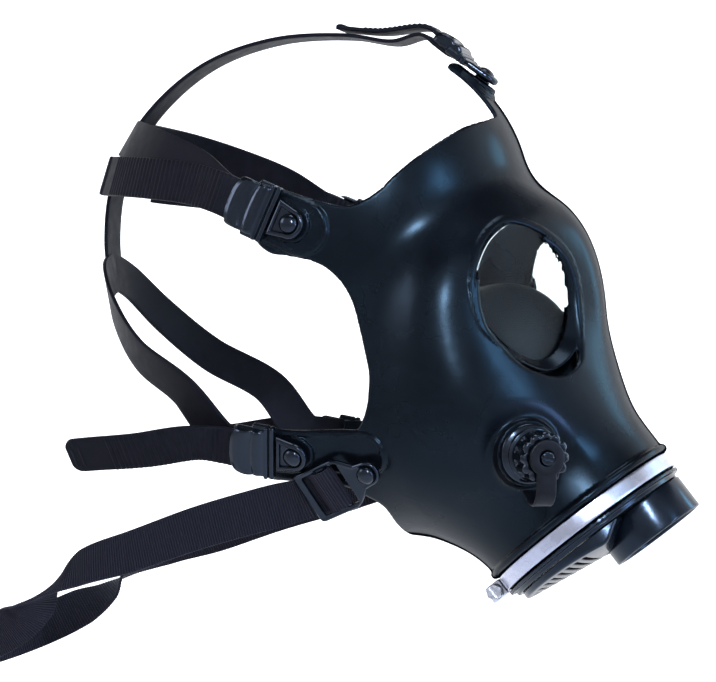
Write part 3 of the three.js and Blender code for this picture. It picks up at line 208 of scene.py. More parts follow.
def face_distance(x, y, z):
    """A band that lies on the head, with a dome cut by the two eye planes, cheeks and a snout, each blended in."""
    band = blend(head_distance(x, y, z, WALL), round_distance(x, y, z, "jaw", WALL), 30)
    planes = carve(eye_plane(x, y, z), eye_plane(-x, y, z), 16)
    dome = carve(round_distance(x, y, z, "dome"), planes, 25)
    along, away = snout_polar(x, y, z)
    body = blend(dome, np.maximum(away - SNOUT_RADIUS, -(along + SNOUT_DEPTH)), 18)
    body = blend(body, round_distance(x, y, z, "cheek"), 20)
    body = blend(body, band, 14)
    hollow = 40 - np.sqrt((x - dimple_point[0]) ** 2 + (y - dimple_point[1]) ** 2 + (z - dimple_point[2]) ** 2)
    return carve(body, hollow, 8)


def slope_of(distance, points, step=0.05):
    """Central differences of a distance along the three axes."""
    out = np.empty_like(points)
    for axis in range(3):
        shift = np.zeros(3)
        shift[axis] = step
        out[:, axis] = distance(*(points + shift).T) - distance(*(points - shift).T)
    return out / (2 * step)


def meet(distance, origin, direction, level, far):
    """Where a ray from inside meets a level, found from outside by steps and then halving."""
    direction = unit(direction)
    reach = far * np.arange(60, -1, -1) / 60
    below = distance(*(origin + reach[:, None] * direction).T) < level
    low = reach[np.argmax(below)]
    high = low + far / 60
    for _ in range(14):
        middle = (low + high) / 2
        value = distance(*(origin + middle * direction))
        low, high = (middle, high) if value < level else (low, middle)
    return origin + low * direction


def outward(distance, point):
    return unit(slope_of(distance, np.asarray(point, float)[None, :], 0.5)[0])


def placed(origin, u, w):
    """A frame with its third axis along w and its first as near to u as it can be."""
    third = unit(w)
    second = unit(np.cross(third, u))
    out = np.eye(4)
    out[:3, 0], out[:3, 1], out[:3, 2], out[:3, 3] = np.cross(second, third), second, third, origin
    return out


def into(at, points):
    return points @ at[:3, :3].T + at[:3, 3]


def local(at, x, y, z):
    """The three coordinates of places in a frame."""
    d = (x - at[0, 3], y - at[1, 3], z - at[2, 3])
    return tuple(d[0] * at[0, k] + d[1] * at[1, k] + d[2] * at[2, k] for k in range(3))


def side_frame(share, lean, rise=PATCH_RISE, tilt=0.0):
    """A frame on the right side of the face, over a point of the side view, leaned back and tilted."""
    touch = meet(face_distance, spot((0, *share)), [-1, 0, 0], 0, 2 * HX)
    normal = outward(face_distance, touch)
    u = np.array([0, math.cos(rad(lean)), math.sin(rad(lean))])
    return placed(touch + rise * normal, u, normal - math.sin(rad(tilt)) * u)


def top_frame():
    touch = meet(face_distance, skull_middle, spot((0, -0.758, 0.976)) - skull_middle, 0, 2 * HY)
    w = outward(face_distance, touch)
    return placed(touch + PATCH_RISE * w, [0, 1, 1], w)


def leaned(at, lean):
    """A frame turned about the stud that stands STUD_SPACING before its origin."""
    out = at.copy()
    out[:3, 0] = math.cos(lean) * at[:3, 0] - math.sin(lean) * at[:3, 1]
    out[:3, 1] = math.cos(lean) * at[:3, 1] + math.sin(lean) * at[:3, 0]
    out[:3, 3] = at[:3, 3] + STUD_SPACING * (out[:3, 0] - at[:3, 0])
    return out


def shifted(at, along, across=0.0):
    out = at.copy()
    out[:3, 3] = into(at, np.array([along, across, 0]))
    return out


top_at = top_frame()
temple_at = side_frame((-0.066, 0.315), 24)
jaw_at = side_frame((-0.041, -0.72), 0)
jaw_buckle_at = leaned(jaw_at, JAW_BUCKLE_LEAN)
loop_at = side_frame((-0.507, -0.785), -29, PATCH_RISE + LOOP_RISE, 8)
snout_at = placed(snout_point, [1, 0, 0], snout_axis)
socket_at = shifted(snout_at, 0, SOCKET_OFFSET)
port_at = placed(port_point, [0, 0, 1], port_normal)
eye_at = placed(eye_point, [-eye_normal[1], eye_normal[0], 0], eye_normal)
SIDES = {"right": np.eye(4), "left": np.diag([-1.0, 1.0, 1.0, 1.0])}


# Meshes from arrays.

def mesh_piece(name, points, faces, normals=None, uv=None):
    """A named object from points in millimetres and quads or triangles of equal count."""
    mesh = bpy.data.meshes.new(name)
    mesh.vertices.add(len(points))
    mesh.vertices.foreach_set("co", (np.asarray(points) * MM).astype(np.float32).ravel())
    mesh.loops.add(faces.size)
    mesh.loops.foreach_set("vertex_index", faces.astype(np.int32).ravel())
    mesh.polygons.add(len(faces))
    mesh.polygons.foreach_set("loop_start", np.arange(0, faces.size, faces.shape[1], dtype=np.int32))
    mesh.polygons.foreach_set("use_smooth", np.ones(len(faces), bool))
    if uv is not None:
        mesh.uv_layers.new(name="weave").data.foreach_set("uv", uv.astype(np.float32).ravel())
    mesh.update(calc_edges=True)
    mesh.validate()
    if normals is not None:
        mesh.normals_split_custom_set_from_vertices(normals.tolist())
    piece = bpy.data.objects.new(name, mesh)
    bpy.context.scene.collection.objects.link(piece)
    return piece


def level_skin(distance, low, high, step):
    """The zero level of a distance. Each grid cell whose corners lie on both sides gets one point, the mean of the
    crossings on its edges, and each grid edge that crosses gets one quad between the points of its four cells."""
    axes = [np.arange(a, b + step, step) for a, b in zip(low, high)]
    value = np.concatenate([
        distance(part[:, None, None], axes[1][None, :, None], axes[2][None, None, :]).astype(np.float32)
        for part in np.array_split(axes[0], 16)
    ])
    inside = value < 0
    size = nx, ny, nz = [n - 1 for n in value.shape]
    count = np.zeros(size, np.uint8)
    for a, b, c in product((0, 1), repeat=3):
        count += inside[a:a + nx, b:b + ny, c:c + nz]
    cells = np.nonzero((count > 0) & (count < 8))
    where = np.stack(cells, 1)
    number = np.full(size, -1, np.int32)
    number[cells] = np.arange(len(where))
    total = np.zeros((len(where), 3))
    crossings = np.zeros(len(where))
    faces = []
    for axis in range(3):
        b, c = (axis + 1) % 3, (axis + 2) % 3
        for ob, oc in product((0, 1), repeat=2):
            start = where.copy()
            start[:, b] += ob
            start[:, c] += oc
            end = start.copy()
            end[:, axis] += 1
            v0, v1 = value[tuple(start.T)], value[tuple(end.T)]
            crossed = (v0 < 0) != (v1 < 0)
            place = (start - where).astype(float)
            place[:, axis] += np.where(crossed, v0 / np.where(crossed, v0 - v1, 1), 0)
            total += place * crossed[:, None]
            crossings += crossed
        first, second = [slice(None)] * 3, [slice(None)] * 3
        first[axis], second[axis] = slice(0, -1), slice(1, None)
        index = np.stack(np.nonzero(inside[tuple(first)] != inside[tuple(second)]), 1)
        ib, ic = index[:, b], index[:, c]
        index = index[(ib > 0) & (ic > 0) & (ib < size[b]) & (ic < size[c])]
        quad = []
        for ob, oc in ((-1, -1), (0, -1), (0, 0), (-1, 0)):
            cell = index.copy()
            cell[:, b] += ob
            cell[:, c] += oc
            quad.append(number[tuple(cell.T)])
        quad = np.stack(quad, 1)
        turn = ~inside[tuple(index.T)]
        quad[turn] = quad[turn][:, ::-1]
        faces.append(quad)
    points = (where + total / crossings[:, None]) * step + [axis[0] for axis in axes]
    return points, np.concatenate(faces)


def settled(distance, points, reach, rounds=3):
    """Points moved onto the zero level along its slope, none further than a reach."""
    moved = points.copy()
    for _ in range(rounds):
        value = distance(*moved.T)
        slope = slope_of(distance, moved)
        moved -= (value / np.maximum((slope**2).sum(1), 0.05))[:, None] * slope
        away = moved - points
        length = np.linalg.norm(away, axis=1, keepdims=True)
        moved = points + away * np.minimum(1, reach / np.maximum(length, 1e-9))
    return moved


def formed(distance, low, high, step, keep=1.0):
    """A shape on the zero level of a distance, thinned to a share of its faces, with the level's own normals."""
    points, faces = level_skin(distance, low, high, step)
    points = settled(distance, points, 0.7 * step)
    if keep < 1:
        rough = mesh_piece("rough", points, faces)
        rough.modifiers.new("thin", "DECIMATE").ratio = keep
        made = rough.evaluated_get(bpy.context.evaluated_depsgraph_get()).to_mesh()
        made.calc_loop_triangles()
        points = np.empty(len(made.vertices) * 3, np.float32)
        made.vertices.foreach_get("co", points)
        faces = np.empty(len(made.loop_triangles) * 3, np.int32)
        made.loop_triangles.foreach_get("vertices", faces)
        points = points.reshape(-1, 3).astype(float) / MM
        faces = faces.reshape(-1, 3)
        bpy.data.objects.remove(rough)
        points = settled(distance, points, 0.4 * step, 2)
    return points, faces, unit(slope_of(distance, points, 0.12) + 1e-9)


def carried(name, shape, at):
    """A shape of points, faces and normals set into a frame, turned over where the frame mirrors it."""
    points, faces, normals = shape
    turn = at[:3, :3]
    if np.linalg.det(turn) < 0:
        faces = faces[:, ::-1]
    return mesh_piece(name, into(at, points), faces, normals @ turn.T)


def grid_faces(rows, around):
    """Quads between rows of points, each row a closed ring."""
    r, s = np.arange(rows - 1)[:, None] * around, np.arange(around)[None, :]
    nxt = (s + 1) % around
    return np.stack([r + s, r + nxt, r + around + nxt, r + around + s], -1).reshape(-1, 4)


def wrapped_faces(rows, around):
    """Quads between closed rings, with the last ring joined to the first."""
    index = np.arange(rows * around).reshape(rows, around)
    nxt = np.roll(index, -1, 0)
    return np.stack([index, nxt, np.roll(nxt, -1, 1), np.roll(index, -1, 1)], -1).reshape(-1, 4)


def softened(profile, radius, steps=4):
    """A closed profile whose corners are rounded: each corner is replaced by a curve between points a radius away."""
    profile = np.asarray(profile, float)
    back, ahead = np.roll(profile, 1, 0) - profile, np.roll(profile, -1, 0) - profile
    lb, la = np.linalg.norm(back, axis=1), np.linalg.norm(ahead, axis=1)
    reach = np.minimum(radius, 0.45 * np.minimum(lb, la))
    reach = np.where(profile[:, 0] < 1e-6, 0, reach)[:, None]
    a = profile + back / lb[:, None] * reach
    b = profile + ahead / la[:, None] * reach
    t = np.linspace(0, 1, steps)[None, :, None]
    curve = (1 - t) ** 2 * a[:, None] + 2 * t * (1 - t) * profile[:, None] + t**2 * b[:, None]
    return curve.reshape(-1, 2)


def swept(profile, sides, wave=None):
    """Points of a closed profile of radius and height carried round an axis, and their faces.
    wave(angle, height, radius) scales the radius."""
    angle = np.linspace(0, 2 * math.pi, sides, endpoint=False)[:, None]
    radius, height = np.repeat(profile[None, :, 0], sides, 0), np.repeat(profile[None, :, 1], sides, 0)
    if wave is not None:
        radius = radius * wave(angle, height, radius)
    points = np.stack([radius * np.cos(angle), radius * np.sin(angle), height], -1).reshape(-1, 3)
    return points, wrapped_faces(sides, len(profile))


def tidied(piece, angle=40, fill=False):
    """Open ends filled on request, doubles merged, faces turned outward, and edges sharper than an angle kept."""
    bm = bmesh.new()
    bm.from_mesh(piece.data)
    if fill:
        bmesh.ops.holes_fill(bm, edges=[e for e in bm.edges if e.is_boundary], sides=0)
    bmesh.ops.remove_doubles(bm, verts=bm.verts, dist=1e-6)
    bmesh.ops.dissolve_degenerate(bm, edges=bm.edges, dist=1e-7)
    bmesh.ops.recalc_face_normals(bm, faces=bm.faces)
    for edge in bm.edges:
        edge.smooth = len(edge.link_faces) == 2 and edge.calc_face_angle(0) < rad(angle)
    bm.to_mesh(piece.data)
    bm.free()
    return piece


def turned(name, profile, at, sides, soft, wave=None):
    points, faces = swept(softened(profile, soft), sides, wave)
    return tidied(mesh_piece(name, into(at, points), faces))


def joined(name, shapes):
    """One mesh of several shapes of points, triangles and weave coordinates."""
    starts = np.cumsum([0] + [len(points) for points, _, _ in shapes])
    faces = np.concatenate([f + start for (_, f, _), start in zip(shapes, starts)])
    points, uv = (np.concatenate([shape[k] for shape in shapes]) for k in (0, 2))
    return tidied(mesh_piece(name, points, faces, uv=uv[faces.ravel()]), 50)


# Curves.

def spline(rows, count, closed=False):
    """A centripetal Catmull-Rom curve through rows of numbers, at even steps of its parameter.
    Only the first three columns set the knots."""
    rows = np.asarray(rows, float)
    if closed:
        ext = np.concatenate([rows[-1:], rows, rows[:2]])
    else:
        ext = np.concatenate([2 * rows[:1] - rows[1:2], rows, 2 * rows[-1:] - rows[-2:-1]])
    spans = len(rows) if closed else len(rows) - 1
    share = np.linspace(0, spans, count, endpoint=not closed)
    k = np.clip(np.floor(share).astype(int), 0, spans - 1)
    t = (share - k)[:, None]
    p0, p1, p2, p3 = (ext[k + i] for i in range(4))
    d0, d1, d2 = (np.maximum(np.linalg.norm((b - a)[:, :3], axis=1), 1e-9)[:, None] ** 0.5
                  for a, b in ((p0, p1), (p1, p2), (p2, p3)))
    m1 = ((p1 - p0) / d0 - (p2 - p0) / (d0 + d1) + (p2 - p1) / d1) * d1
    m2 = ((p2 - p1) / d1 - (p3 - p1) / (d1 + d2) + (p3 - p2) / d2) * d1
    return p1 + m1 * t + (3 * (p2 - p1) - 2 * m1 - m2) * t**2 + (2 * (p1 - p2) + m1 + m2) * t**3


def read_at(where, length, rows):
    return np.stack([np.interp(where, length, column) for column in rows.T], 1)


def smoothed(rows, width):
    """Rows averaged over a width with a cosine window, their ends held."""
    window = np.hanning(2 * width + 3)[1:-1]
    window /= window.sum()
    padded = np.concatenate([np.repeat(rows[:1], width, 0), rows, np.repeat(rows[-1:], width, 0)])
    return np.stack([np.convolve(column, window, "valid") for column in padded.T], 1)


# Distances to plane shapes and blocks, negative inside.

def polygon_distance(px, py, rows):
    rows = np.asarray(rows, float)
    best = np.full(px.shape, 1e9)
    odd = np.zeros(px.shape, bool)
    for (ax, ay), (bx, by) in zip(rows, np.roll(rows, -1, 0)):
        ex, ey = bx - ax, by - ay
        h = np.clip(((px - ax) * ex + (py - ay) * ey) / (ex * ex + ey * ey + 1e-12), 0, 1)
        best = np.minimum(best, (px - ax - h * ex) ** 2 + (py - ay - h * ey) ** 2)
        odd ^= ((ay > py) != (by > py)) & (px < (bx - ax) * (py - ay) / (by - ay + 1e-12) + ax)
    return np.where(odd, -1, 1) * np.sqrt(best)


def plane_table(rows, low, high, step):
    """A reader of polygon distance, worked out once on a grid and read between its points."""
    gx, gy = np.arange(low[0], high[0] + step, step), np.arange(low[1], high[1] + step, step)
    table = polygon_distance(*np.meshgrid(gx, gy, indexing="ij"), rows)

    def read(x, y):
        fx = np.clip((x - low[0]) / step, 0, len(gx) - 1.001)
        fy = np.clip((y - low[1]) / step, 0, len(gy) - 1.001)
        i, j = fx.astype(int), fy.astype(int)
        fx, fy = fx - i, fy - j
        near = (1 - fx) * (1 - fy) * table[i, j] + fx * (1 - fy) * table[i + 1, j]
        return near + (1 - fx) * fy * table[i, j + 1] + fx * fy * table[i + 1, j + 1]

    return read


def bar_distance(u, v, start, end, half):
    """A bar in a plane with a square end at start and a round end at end, which is the lower of the two."""
    dv = np.abs(v)
    round_end = np.hypot(np.minimum(u - (end + half), 0), dv) - half
    return np.where(u < end + half, round_end, np.maximum(u - start, dv - half))


def box_distance(u, v, w, low, high, corner=0.0):
    """A box with rounded edges."""
    q = [np.abs(p - (a + b) / 2) - ((b - a) / 2 - corner) for p, a, b in zip((u, v, w), low, high)]
    outside = np.sqrt(sum(np.maximum(k, 0) ** 2 for k in q))
    return outside + np.minimum(np.maximum(np.maximum(q[0], q[1]), q[2]), 0) - corner


def ring_distance(away, along, low, high, inner, outer, corner=0.0):
    """A ring round an axis, of square section with rounded edges."""
    q0 = np.abs(away - (inner + outer) / 2) - (outer - inner) / 2 + corner
    q1 = np.abs(along - (low + high) / 2) - (high - low) / 2 + corner
    return np.hypot(np.maximum(q0, 0), np.maximum(q1, 0)) + np.minimum(np.maximum(q0, q1), 0) - corner


# Rubber.

rear = spline([(y * HY, z * HZ, 0) for y, z in REAR_EDGE], 150)[:, :2]
side_outline = plane_table([*rear, (-2.2 * HY, -2 * HZ), (-2.2 * HY, 0.9 * HZ)], (-225, -215), (25, 125), 1.0)
eye_outline = spline([(a * EYE_HEIGHT / 2, b * EYE_HEIGHT / 2, 0) for a, b in EYE_RIM], 120, True)[:, :2]
eye_ring = plane_table(eye_outline, (-60, -60), (60, 60), 0.6)


def raised_patch(x, y, z, at, end, half, outer):
    """A flat bar of rubber on the skin with a fine raised line just inside its edge and a level seat for the stud."""
    u, v, w = local(at, x, y, z)
    edge = bar_distance(u, v, 4, end, half)
    rim = PATCH_RIM * np.exp(-(((edge + 1.5) / 0.55) ** 2))
    seat = carve(np.hypot(u + STUD_SPACING, v) - 8.6, w + 0.05, 0.8)
    return carve(edge, np.minimum(outer - PATCH_RISE - rim, np.maximum(seat, outer - 4)), 1.2)


def facepiece_distance(x, y, z):
    """The face skin with its inner copy a wall below taken away, trimmed from the side and by the forehead tab, with
    patches, eye wells, port boss and mouth added and the openings cut."""
    ax = -np.abs(x)
    outer = face_distance(x, y, z)
    along, away = snout_polar(x, y, z)
    tab = box_distance(*local(top_at, x, y, z), (-45, -12.5, -30), (4, 12.5, 30), 3)
    trim = np.maximum(blend(side_outline(y, z) + 0 * x, tab, 4), along + 0.6)
    body = carve(outer, trim, EDGE_ROUND)
    for across, at, end, half in ((ax, temple_at, -27.5, 12.6), (ax, jaw_at, -53, 10.5), (x, top_at, -21, 11)):
        body = blend(body, raised_patch(across, y, z, at, end, half, outer), PATCH_FILLET)
    pu, pv, pw = local(port_at, x, y, z)
    port_away = np.hypot(pu, pv)
    boss = np.maximum(port_away - 14.7 - 0.16 * (2.6 - pw), np.maximum(pw - 2.6, -7 - pw))
    shell = carve(blend(body, boss, 3.2), -(outer + WALL), EDGE_ROUND)
    eu, ev, ew = local(eye_at, ax, y, z)
    ring = eye_ring(eu, ev)
    well = np.maximum(np.maximum(ring - 1, outer), -(ew + EYE_WELL))
    shell = blend(shell, well, 1.5)
    sleeve = ring_distance(away, along, -20, SLEEVE_LENGTH, BORE, SLEEVE, 0.6)
    root = ring_distance(away, along, -20, -2.2, BORE, SNOUT_RADIUS - 0.8, 0.5)
    lip = ring_distance(away, along, -3.6, -0.6, BORE, SNOUT_RADIUS + 1.6, 1.2)
    shell = blend(shell, blend(np.minimum(sleeve, root), lip, 1.0), 1.6)
    taper = np.clip((ew + EYE_SEAT - 1) / (EYE_SEAT - 1 + 1.5), 0, 1.6) * EYE_TAPER
    groove = np.maximum(ring + EYE_TAPER - 2.3, np.abs(ew + EYE_SEAT + 1.2) - 1.2)
    window = np.maximum(np.minimum(ring + EYE_TAPER - taper, groove), -EYE_WELL - 6 - ew)
    shell = carve(shell, -window, EYE_ROUND)
    shell = carve(shell, np.minimum(BORE - away, along + 30), 0.8)
    return carve(shell, np.minimum(9.4 - port_away, 30 - np.abs(pw)), 0.8)


def nose_cup_distance(x, y, z):
    """A cup of two blended round forms, open towards the face, on a pipe along the snout."""
    form = blend(round_distance(x, y, z, "nose_tip"), round_distance(x, y, z, "nose_base"), 14)
    depth = local(placed(spot((0, -0.86, -0.45)), [1, 0, 0], [0, 1, -0.18]), x, y, z)[2]
    along, away = snout_polar(x, y, z)
    pipe = np.maximum(away - 18.1, np.maximum(along - SLEEVE_LENGTH, -24 - along))
    shell = carve(blend(form, pipe, 3), -(form + 1.6), 1)
    bead = np.hypot(form + 0.8, depth) - 1.5
    shell = blend(carve(shell, depth, 1.2), bead, 1.2)
    return carve(shell, np.minimum(16.5 - away, 45 - np.abs(along + 15)), 1)


# Straps: a rounded section carried along a path.

def section(width, thickness, across=9, corner=0.45, turns=4):
    """Points round a rectangle with round corners, from its low face (a rising) to its high face, as rows a, b."""
    hw, ht = width / 2, thickness / 2
    r = min(corner, 0.98 * ht)
    line = np.linspace(-(hw - r), hw - r, across)
    turn = np.linspace(0, math.pi / 2, turns + 1)[1:-1]

    def quarter(a, b, start):
        return np.stack([a + r * np.cos(start + turn), b + r * np.sin(start + turn)], 1)

    return np.concatenate([
        np.stack([line, np.full(across, -ht)], 1),
        quarter(hw - r, r - ht, -math.pi / 2),
        [(hw, r - ht), (hw, ht - r)],
        quarter(hw - r, ht - r, 0),
        np.stack([line[::-1], np.full(across, ht)], 1),
        quarter(r - hw, ht - r, math.pi / 2),
        [(-hw, ht - r), (-hw, r - ht)],
        quarter(r - hw, r - ht, math.pi),
    ])


def ribbon(keys, width, thickness, fine, coarse, ribbed, relief, taper=None):
    """Points, triangles and weave coordinates of a ribbon through keys of place and facing:
    point = path + a * side + b * facing. Rows stand close over the last stretch of length ribbed and wide apart
    elsewhere. relief(length, a, total) gives the rise of the low face and of the high face."""
    keys = np.asarray(keys, float)
    dense = spline(keys, 40 * len(keys))
    span = np.linspace(0, len(keys) - 1, len(dense))
    facing = read_at(span, np.arange(len(keys)), keys[:, 3:])
    length = np.concatenate([[0], np.cumsum(np.linalg.norm(np.diff(dense[:, :3], axis=0), axis=1))])
    total = length[-1]
    s = np.linspace(0, total, int(total / 0.5) + 1)
    path, facing = read_at(s, length, dense[:, :3]), smoothed(read_at(s, length, facing), 6)
    tip = total - TIP_CORNER * (1 - np.cos(np.linspace(0, math.pi / 2, 12))) if taper else [total]
    close = np.arange(max(total - ribbed, 0), total, fine)
    where = np.unique(np.round(np.concatenate([np.arange(0, total, coarse), close, tip, [0, total]]), 3))
    where = where[np.concatenate([[True], np.diff(where) > 0.08])]
    path, facing = read_at(where, s, path), read_at(where, s, facing)
    tangent = unit(np.gradient(path, where, axis=0))
    facing = unit(facing - (facing * tangent).sum(1, keepdims=True) * tangent)
    side = np.cross(tangent, facing)
    ring = section(width, thickness)
    count = len(ring)
    a, b = (np.repeat(ring[None, :, k], len(where), 0) for k in (0, 1))
    low_rise, high_rise = relief(where[:, None] + 0 * a, a, total)
    fade = np.clip((width / 2 - np.abs(a)) / 0.6, 0, 1) ** 0.5
    b = b + fade * np.where(b > 0, high_rise, -low_rise) * (np.abs(b) > 0.6 * thickness / 2)
    if taper:
        a = a * taper(where, total)[:, None]
    points = (path[:, None] + a[..., None] * side[:, None] + b[..., None] * facing[:, None]).reshape(-1, 3)
    uv = np.stack([np.repeat(where[:, None], count, 1), a], -1).reshape(-1, 2) * MM
    quads = grid_faces(len(where), count)[:, ::-1]
    index, n = np.arange(count), len(points)
    nxt = np.roll(index, -1)
    first = np.stack([index, nxt, np.full(count, n)], 1)
    final = np.stack([nxt + n - count, index + n - count, np.full(count, n + 1)], 1)
    faces = np.concatenate([quads[:, [0, 1, 2]], quads[:, [0, 2, 3]], first, final])
    return np.concatenate([points, path[[0, -1]]]), faces, np.concatenate([uv, uv[[0, -1]]])


def across(shape):
    points, faces, uv = shape
    return points * [-1, 1, 1], faces[:, ::-1], uv


def free_key(row, side=1):
    """A key of a strap's path at a given place, facing away from the head."""
    p = spot(row)
    return [*p, *(side * outward(head_distance, p))]


def head_key(row, lift, side=1):
    """A key over the head in the direction of a given place."""
    p = meet(head_distance, skull_middle, spot(row) - skull_middle, lift, 2 * HY)
    return [*p, *(side * outward(head_distance, p))]


def buckle_keys(at):
    """Keys under the frame, round its bar and out over it."""
    low, high = GAP + STRAP_THICKNESS / 2 + 0.1, 4.4 + GAP + STRAP_THICKNESS / 2
    middle, radius = (low + high) / 2, (high - low) / 2
    rows = [(24, low, 0), (15, low, 0)]
    rows += [(7 - radius * math.sin(t), middle - radius * math.cos(t), t) for t in np.linspace(0, math.pi, 5)]
    rows += [(15, high, math.pi), (24, high, math.pi)]
    return [[*into(at, np.array([u, 0, w])), *(at[:3, :3] @ [math.sin(t), 0, math.cos(t)])] for u, w, t in rows]


def ribs(length, start, end):
    """Round ribs across a strap between two lengths."""
    phase = 0.5 + 0.5 * np.cos(2 * math.pi * (length - start) / RIB_PITCH)
    inside = np.clip((length - start) / 0.8, 0, 1) * np.clip((end - length) / 0.8, 0, 1)
    return RIB_HEIGHT * phase**0.7 * inside


def ridge(length, middle, width, height):
    return height * np.clip(1 - ((length - middle) / (width / 2)) ** 2, 0, 1) ** 0.5


def round_tail(length, a, total, start):
    """Ribs, two ridges and a fine oblong line near the end. A tail's outer face is the strap's low one."""
    rise = ribs(length, start, total - 26) + ridge(length, total - 24.5, 1.6, 0.55)
    rise = rise + ridge(length, total - 21.8, 1.6, 0.55)
    oblong = np.hypot(np.maximum(np.abs(a) - 4.6, 0), length - total + 4.6) - 1.9
    return rise + 0.4 * np.exp(-((oblong / 0.45) ** 2))


def ridged_tail(length, a, total, start):
    """Ribs and one strong ridge at the end."""
    return ribs(length, start, total - 13) + ridge(length, total - 2.2, 4.0, 0.9)


def round_tip(where, total):
    """The share of a strap's width that is left at each length, so that its end has round corners."""
    back = np.clip(total - where, 0, TIP_CORNER)
    lost = TIP_CORNER - np.sqrt(np.maximum(TIP_CORNER**2 - (TIP_CORNER - back) ** 2, 0))
    return 1 - lost / (STRAP_WIDTH / 2)


def harness_strap(arm, at, tail, tail_length, form, taper=None):
    def relief(length, a, total):
        rise = form(length, a, total, total - tail_length)
        return rise, 0 * rise

    return ribbon([*arm[::-1], *buckle_keys(at), *tail], STRAP_WIDTH, STRAP_THICKNESS, 0.42, 2.2, tail_length + 4,
                  relief, taper)


def harness_piece():
    """Five flat rubber straps: each runs from the back of the head to its buckle, round the bar and back as a tail."""
    lift = STRAP_THICKNESS / 2 + 0.3
    over = lift + 3.6
    temple = harness_strap([head_key(r, lift) for r in TEMPLE_ARM], temple_at,
                           [head_key(r, over, -1) for r in TEMPLE_TAIL], 128, ridged_tail)
    jaw = harness_strap([free_key(r) for r in JAW_ARM], jaw_buckle_at,
                        [free_key(r, -1) for r in JAW_TAIL], 84, round_tail, round_tip)
    top = harness_strap([head_key(r, lift) for r in TOP_ARM], top_at,
                        [head_key(r, over, -1) for r in TOP_TAIL], 60, ridged_tail)
    return joined("harness_straps", [temple, across(temple), jaw, across(jaw), top])


def neck_piece():
    """Woven tape from loop to loop round the neck, its face crossed by the ridges of the weft every WEFT_PITCH."""
    start = 3 * GAP + LOOP_THICKNESS + WEB_THICKNESS / 2
    right = [[*into(loop_at, np.array([u, v, start + w])),
              *(loop_at[:3, :3] @ [-math.sin(rad(t)), 0, math.cos(rad(t))])] for u, v, w, t in LOOP_RUN]
    for x, y, z, lean in NECK_PATH:
        p = spot((x, y, z))
        out = unit([p[0] / HX**2, max(p[1], 0) / HY**2 * (1 if x == 0 else 0.8), 0])
        right.append([*p, *(out * math.cos(rad(lean)) + np.array([0, 0, math.sin(rad(lean))]))])
    left = np.array(right[-2::-1]) * [-1, 1, 1, -1, 1, 1]

    def weft(length, a, total):
        rise = 0.2 * np.cos(2 * math.pi * length / WEFT_PITCH) + 0.03 * np.cos(2 * math.pi * a / 1.1)
        rise = rise - 0.12 * np.exp(-(((np.abs(a) - WEB_WIDTH / 2 + 1.2) / 0.5) ** 2))
        return rise, rise

    return joined("neck_tape", [ribbon([*right, *left], WEB_WIDTH, WEB_THICKNESS, 0.32, 0.32, math.inf, weft)])


# Hard fittings.

def buckle_distance(u, v, w):
    """A barrel hood and a second smaller arch between two cheeks, a bar under them for the strap, ears beside them and
    an end flange with a fine ridge. The hood's strap edge bows out in plan."""
    bowed = u + (0.006 * v**2 + 0.00018 * v**4) * np.clip((u - 4) / 8, 0, 1)
    uu, ww = np.broadcast_arrays(bowed, w + 0 * v)
    solid = carve(polygon_distance(uu, ww, HOOD), np.abs(v) - 11.6, 1.6)
    straight, height = np.broadcast_arrays(u + 0 * v, w + 0 * v)
    hollow = np.maximum(polygon_distance(straight, height, HOOD_ROOM), np.abs(v) - 10.1)
    flange = box_distance(u, v, w, (-1.8, -13.3, 1.2), (0.7, 13.3, 5.0), 0.9)
    ridge = box_distance(u, v, w, (0.9, -13.3, 1.2), (2.8, 13.3, 5.9), 0.8)
    ears = box_distance(u, v, w, (1, -13.3, 1.4), (9, 13.3, 4.4), 1.1)
    body = carve(blend(solid, np.minimum(blend(flange, ridge, 0.5), ears), 0.8), -hollow, 0.4)
    bar = box_distance(u, v, w, (8, -10.8, 2.8), (11, 10.8, 4.4), 0.75)
    return np.minimum(body, bar)


def half_round(middle, radius):
    turn = np.radians(np.linspace(90, 270, 25))
    return np.stack([middle + radius * np.cos(turn), radius * np.sin(turn)], 1)


def tongue_outline(back):
    return [(back, 8.6), *half_round(-STUD_SPACING, 7), (back, -8.6)]


def tongue_distance(u, v, w):
    """A plate round the stud with a raised rounded rim and a shallow dished floor."""
    uu, vv = np.broadcast_arrays(u + 0 * w, v + 0 * w)
    edge = polygon_distance(uu, vv, tongue_outline(-2.3))
    plate = carve(edge, np.abs(w - 3.05) - 1.65, 1.8)
    recess = np.maximum(edge + 2.3, 3.3 - w)
    hole = np.hypot(u + STUD_SPACING, v) - STUD_HOLE
    return carve(carve(plate, -recess, 0.9), -hole, 0.5)


def loop_outline():
    arc = half_round(0, 6)
    low = [(4, -6.4), (10, -11.5), (13, -13), (32, -13), (33.4, -12.4), (34, -11)]
    return [*arc, *low, *[(a, -b) for a, b in low[::-1]]]


def loop_distance(u, v, w):
    """An end with a stud's eye that widens to a slide with two windows, a bar between them and a raised border."""
    uu, vv = np.broadcast_arrays(u + 0 * w, v + 0 * w)
    edge = polygon_distance(uu, vv, loop_outline())
    bead = 0.3 * np.exp(-(((edge + 0.9) / 0.55) ** 2))
    plate = carve(edge, np.abs(w - 1.45) - 1.1 - bead, 0.9)
    windows = [box_distance(u, v, 0 * w, (a, -10.5, -9), (b, 10.5, 9), 0.9) for a, b in ((11, 17.5), (21.5, 30.4))]
    eye = np.hypot(u, v) - STUD_HOLE
    return carve(plate, -np.minimum(np.minimum(*windows), eye), 0.8)


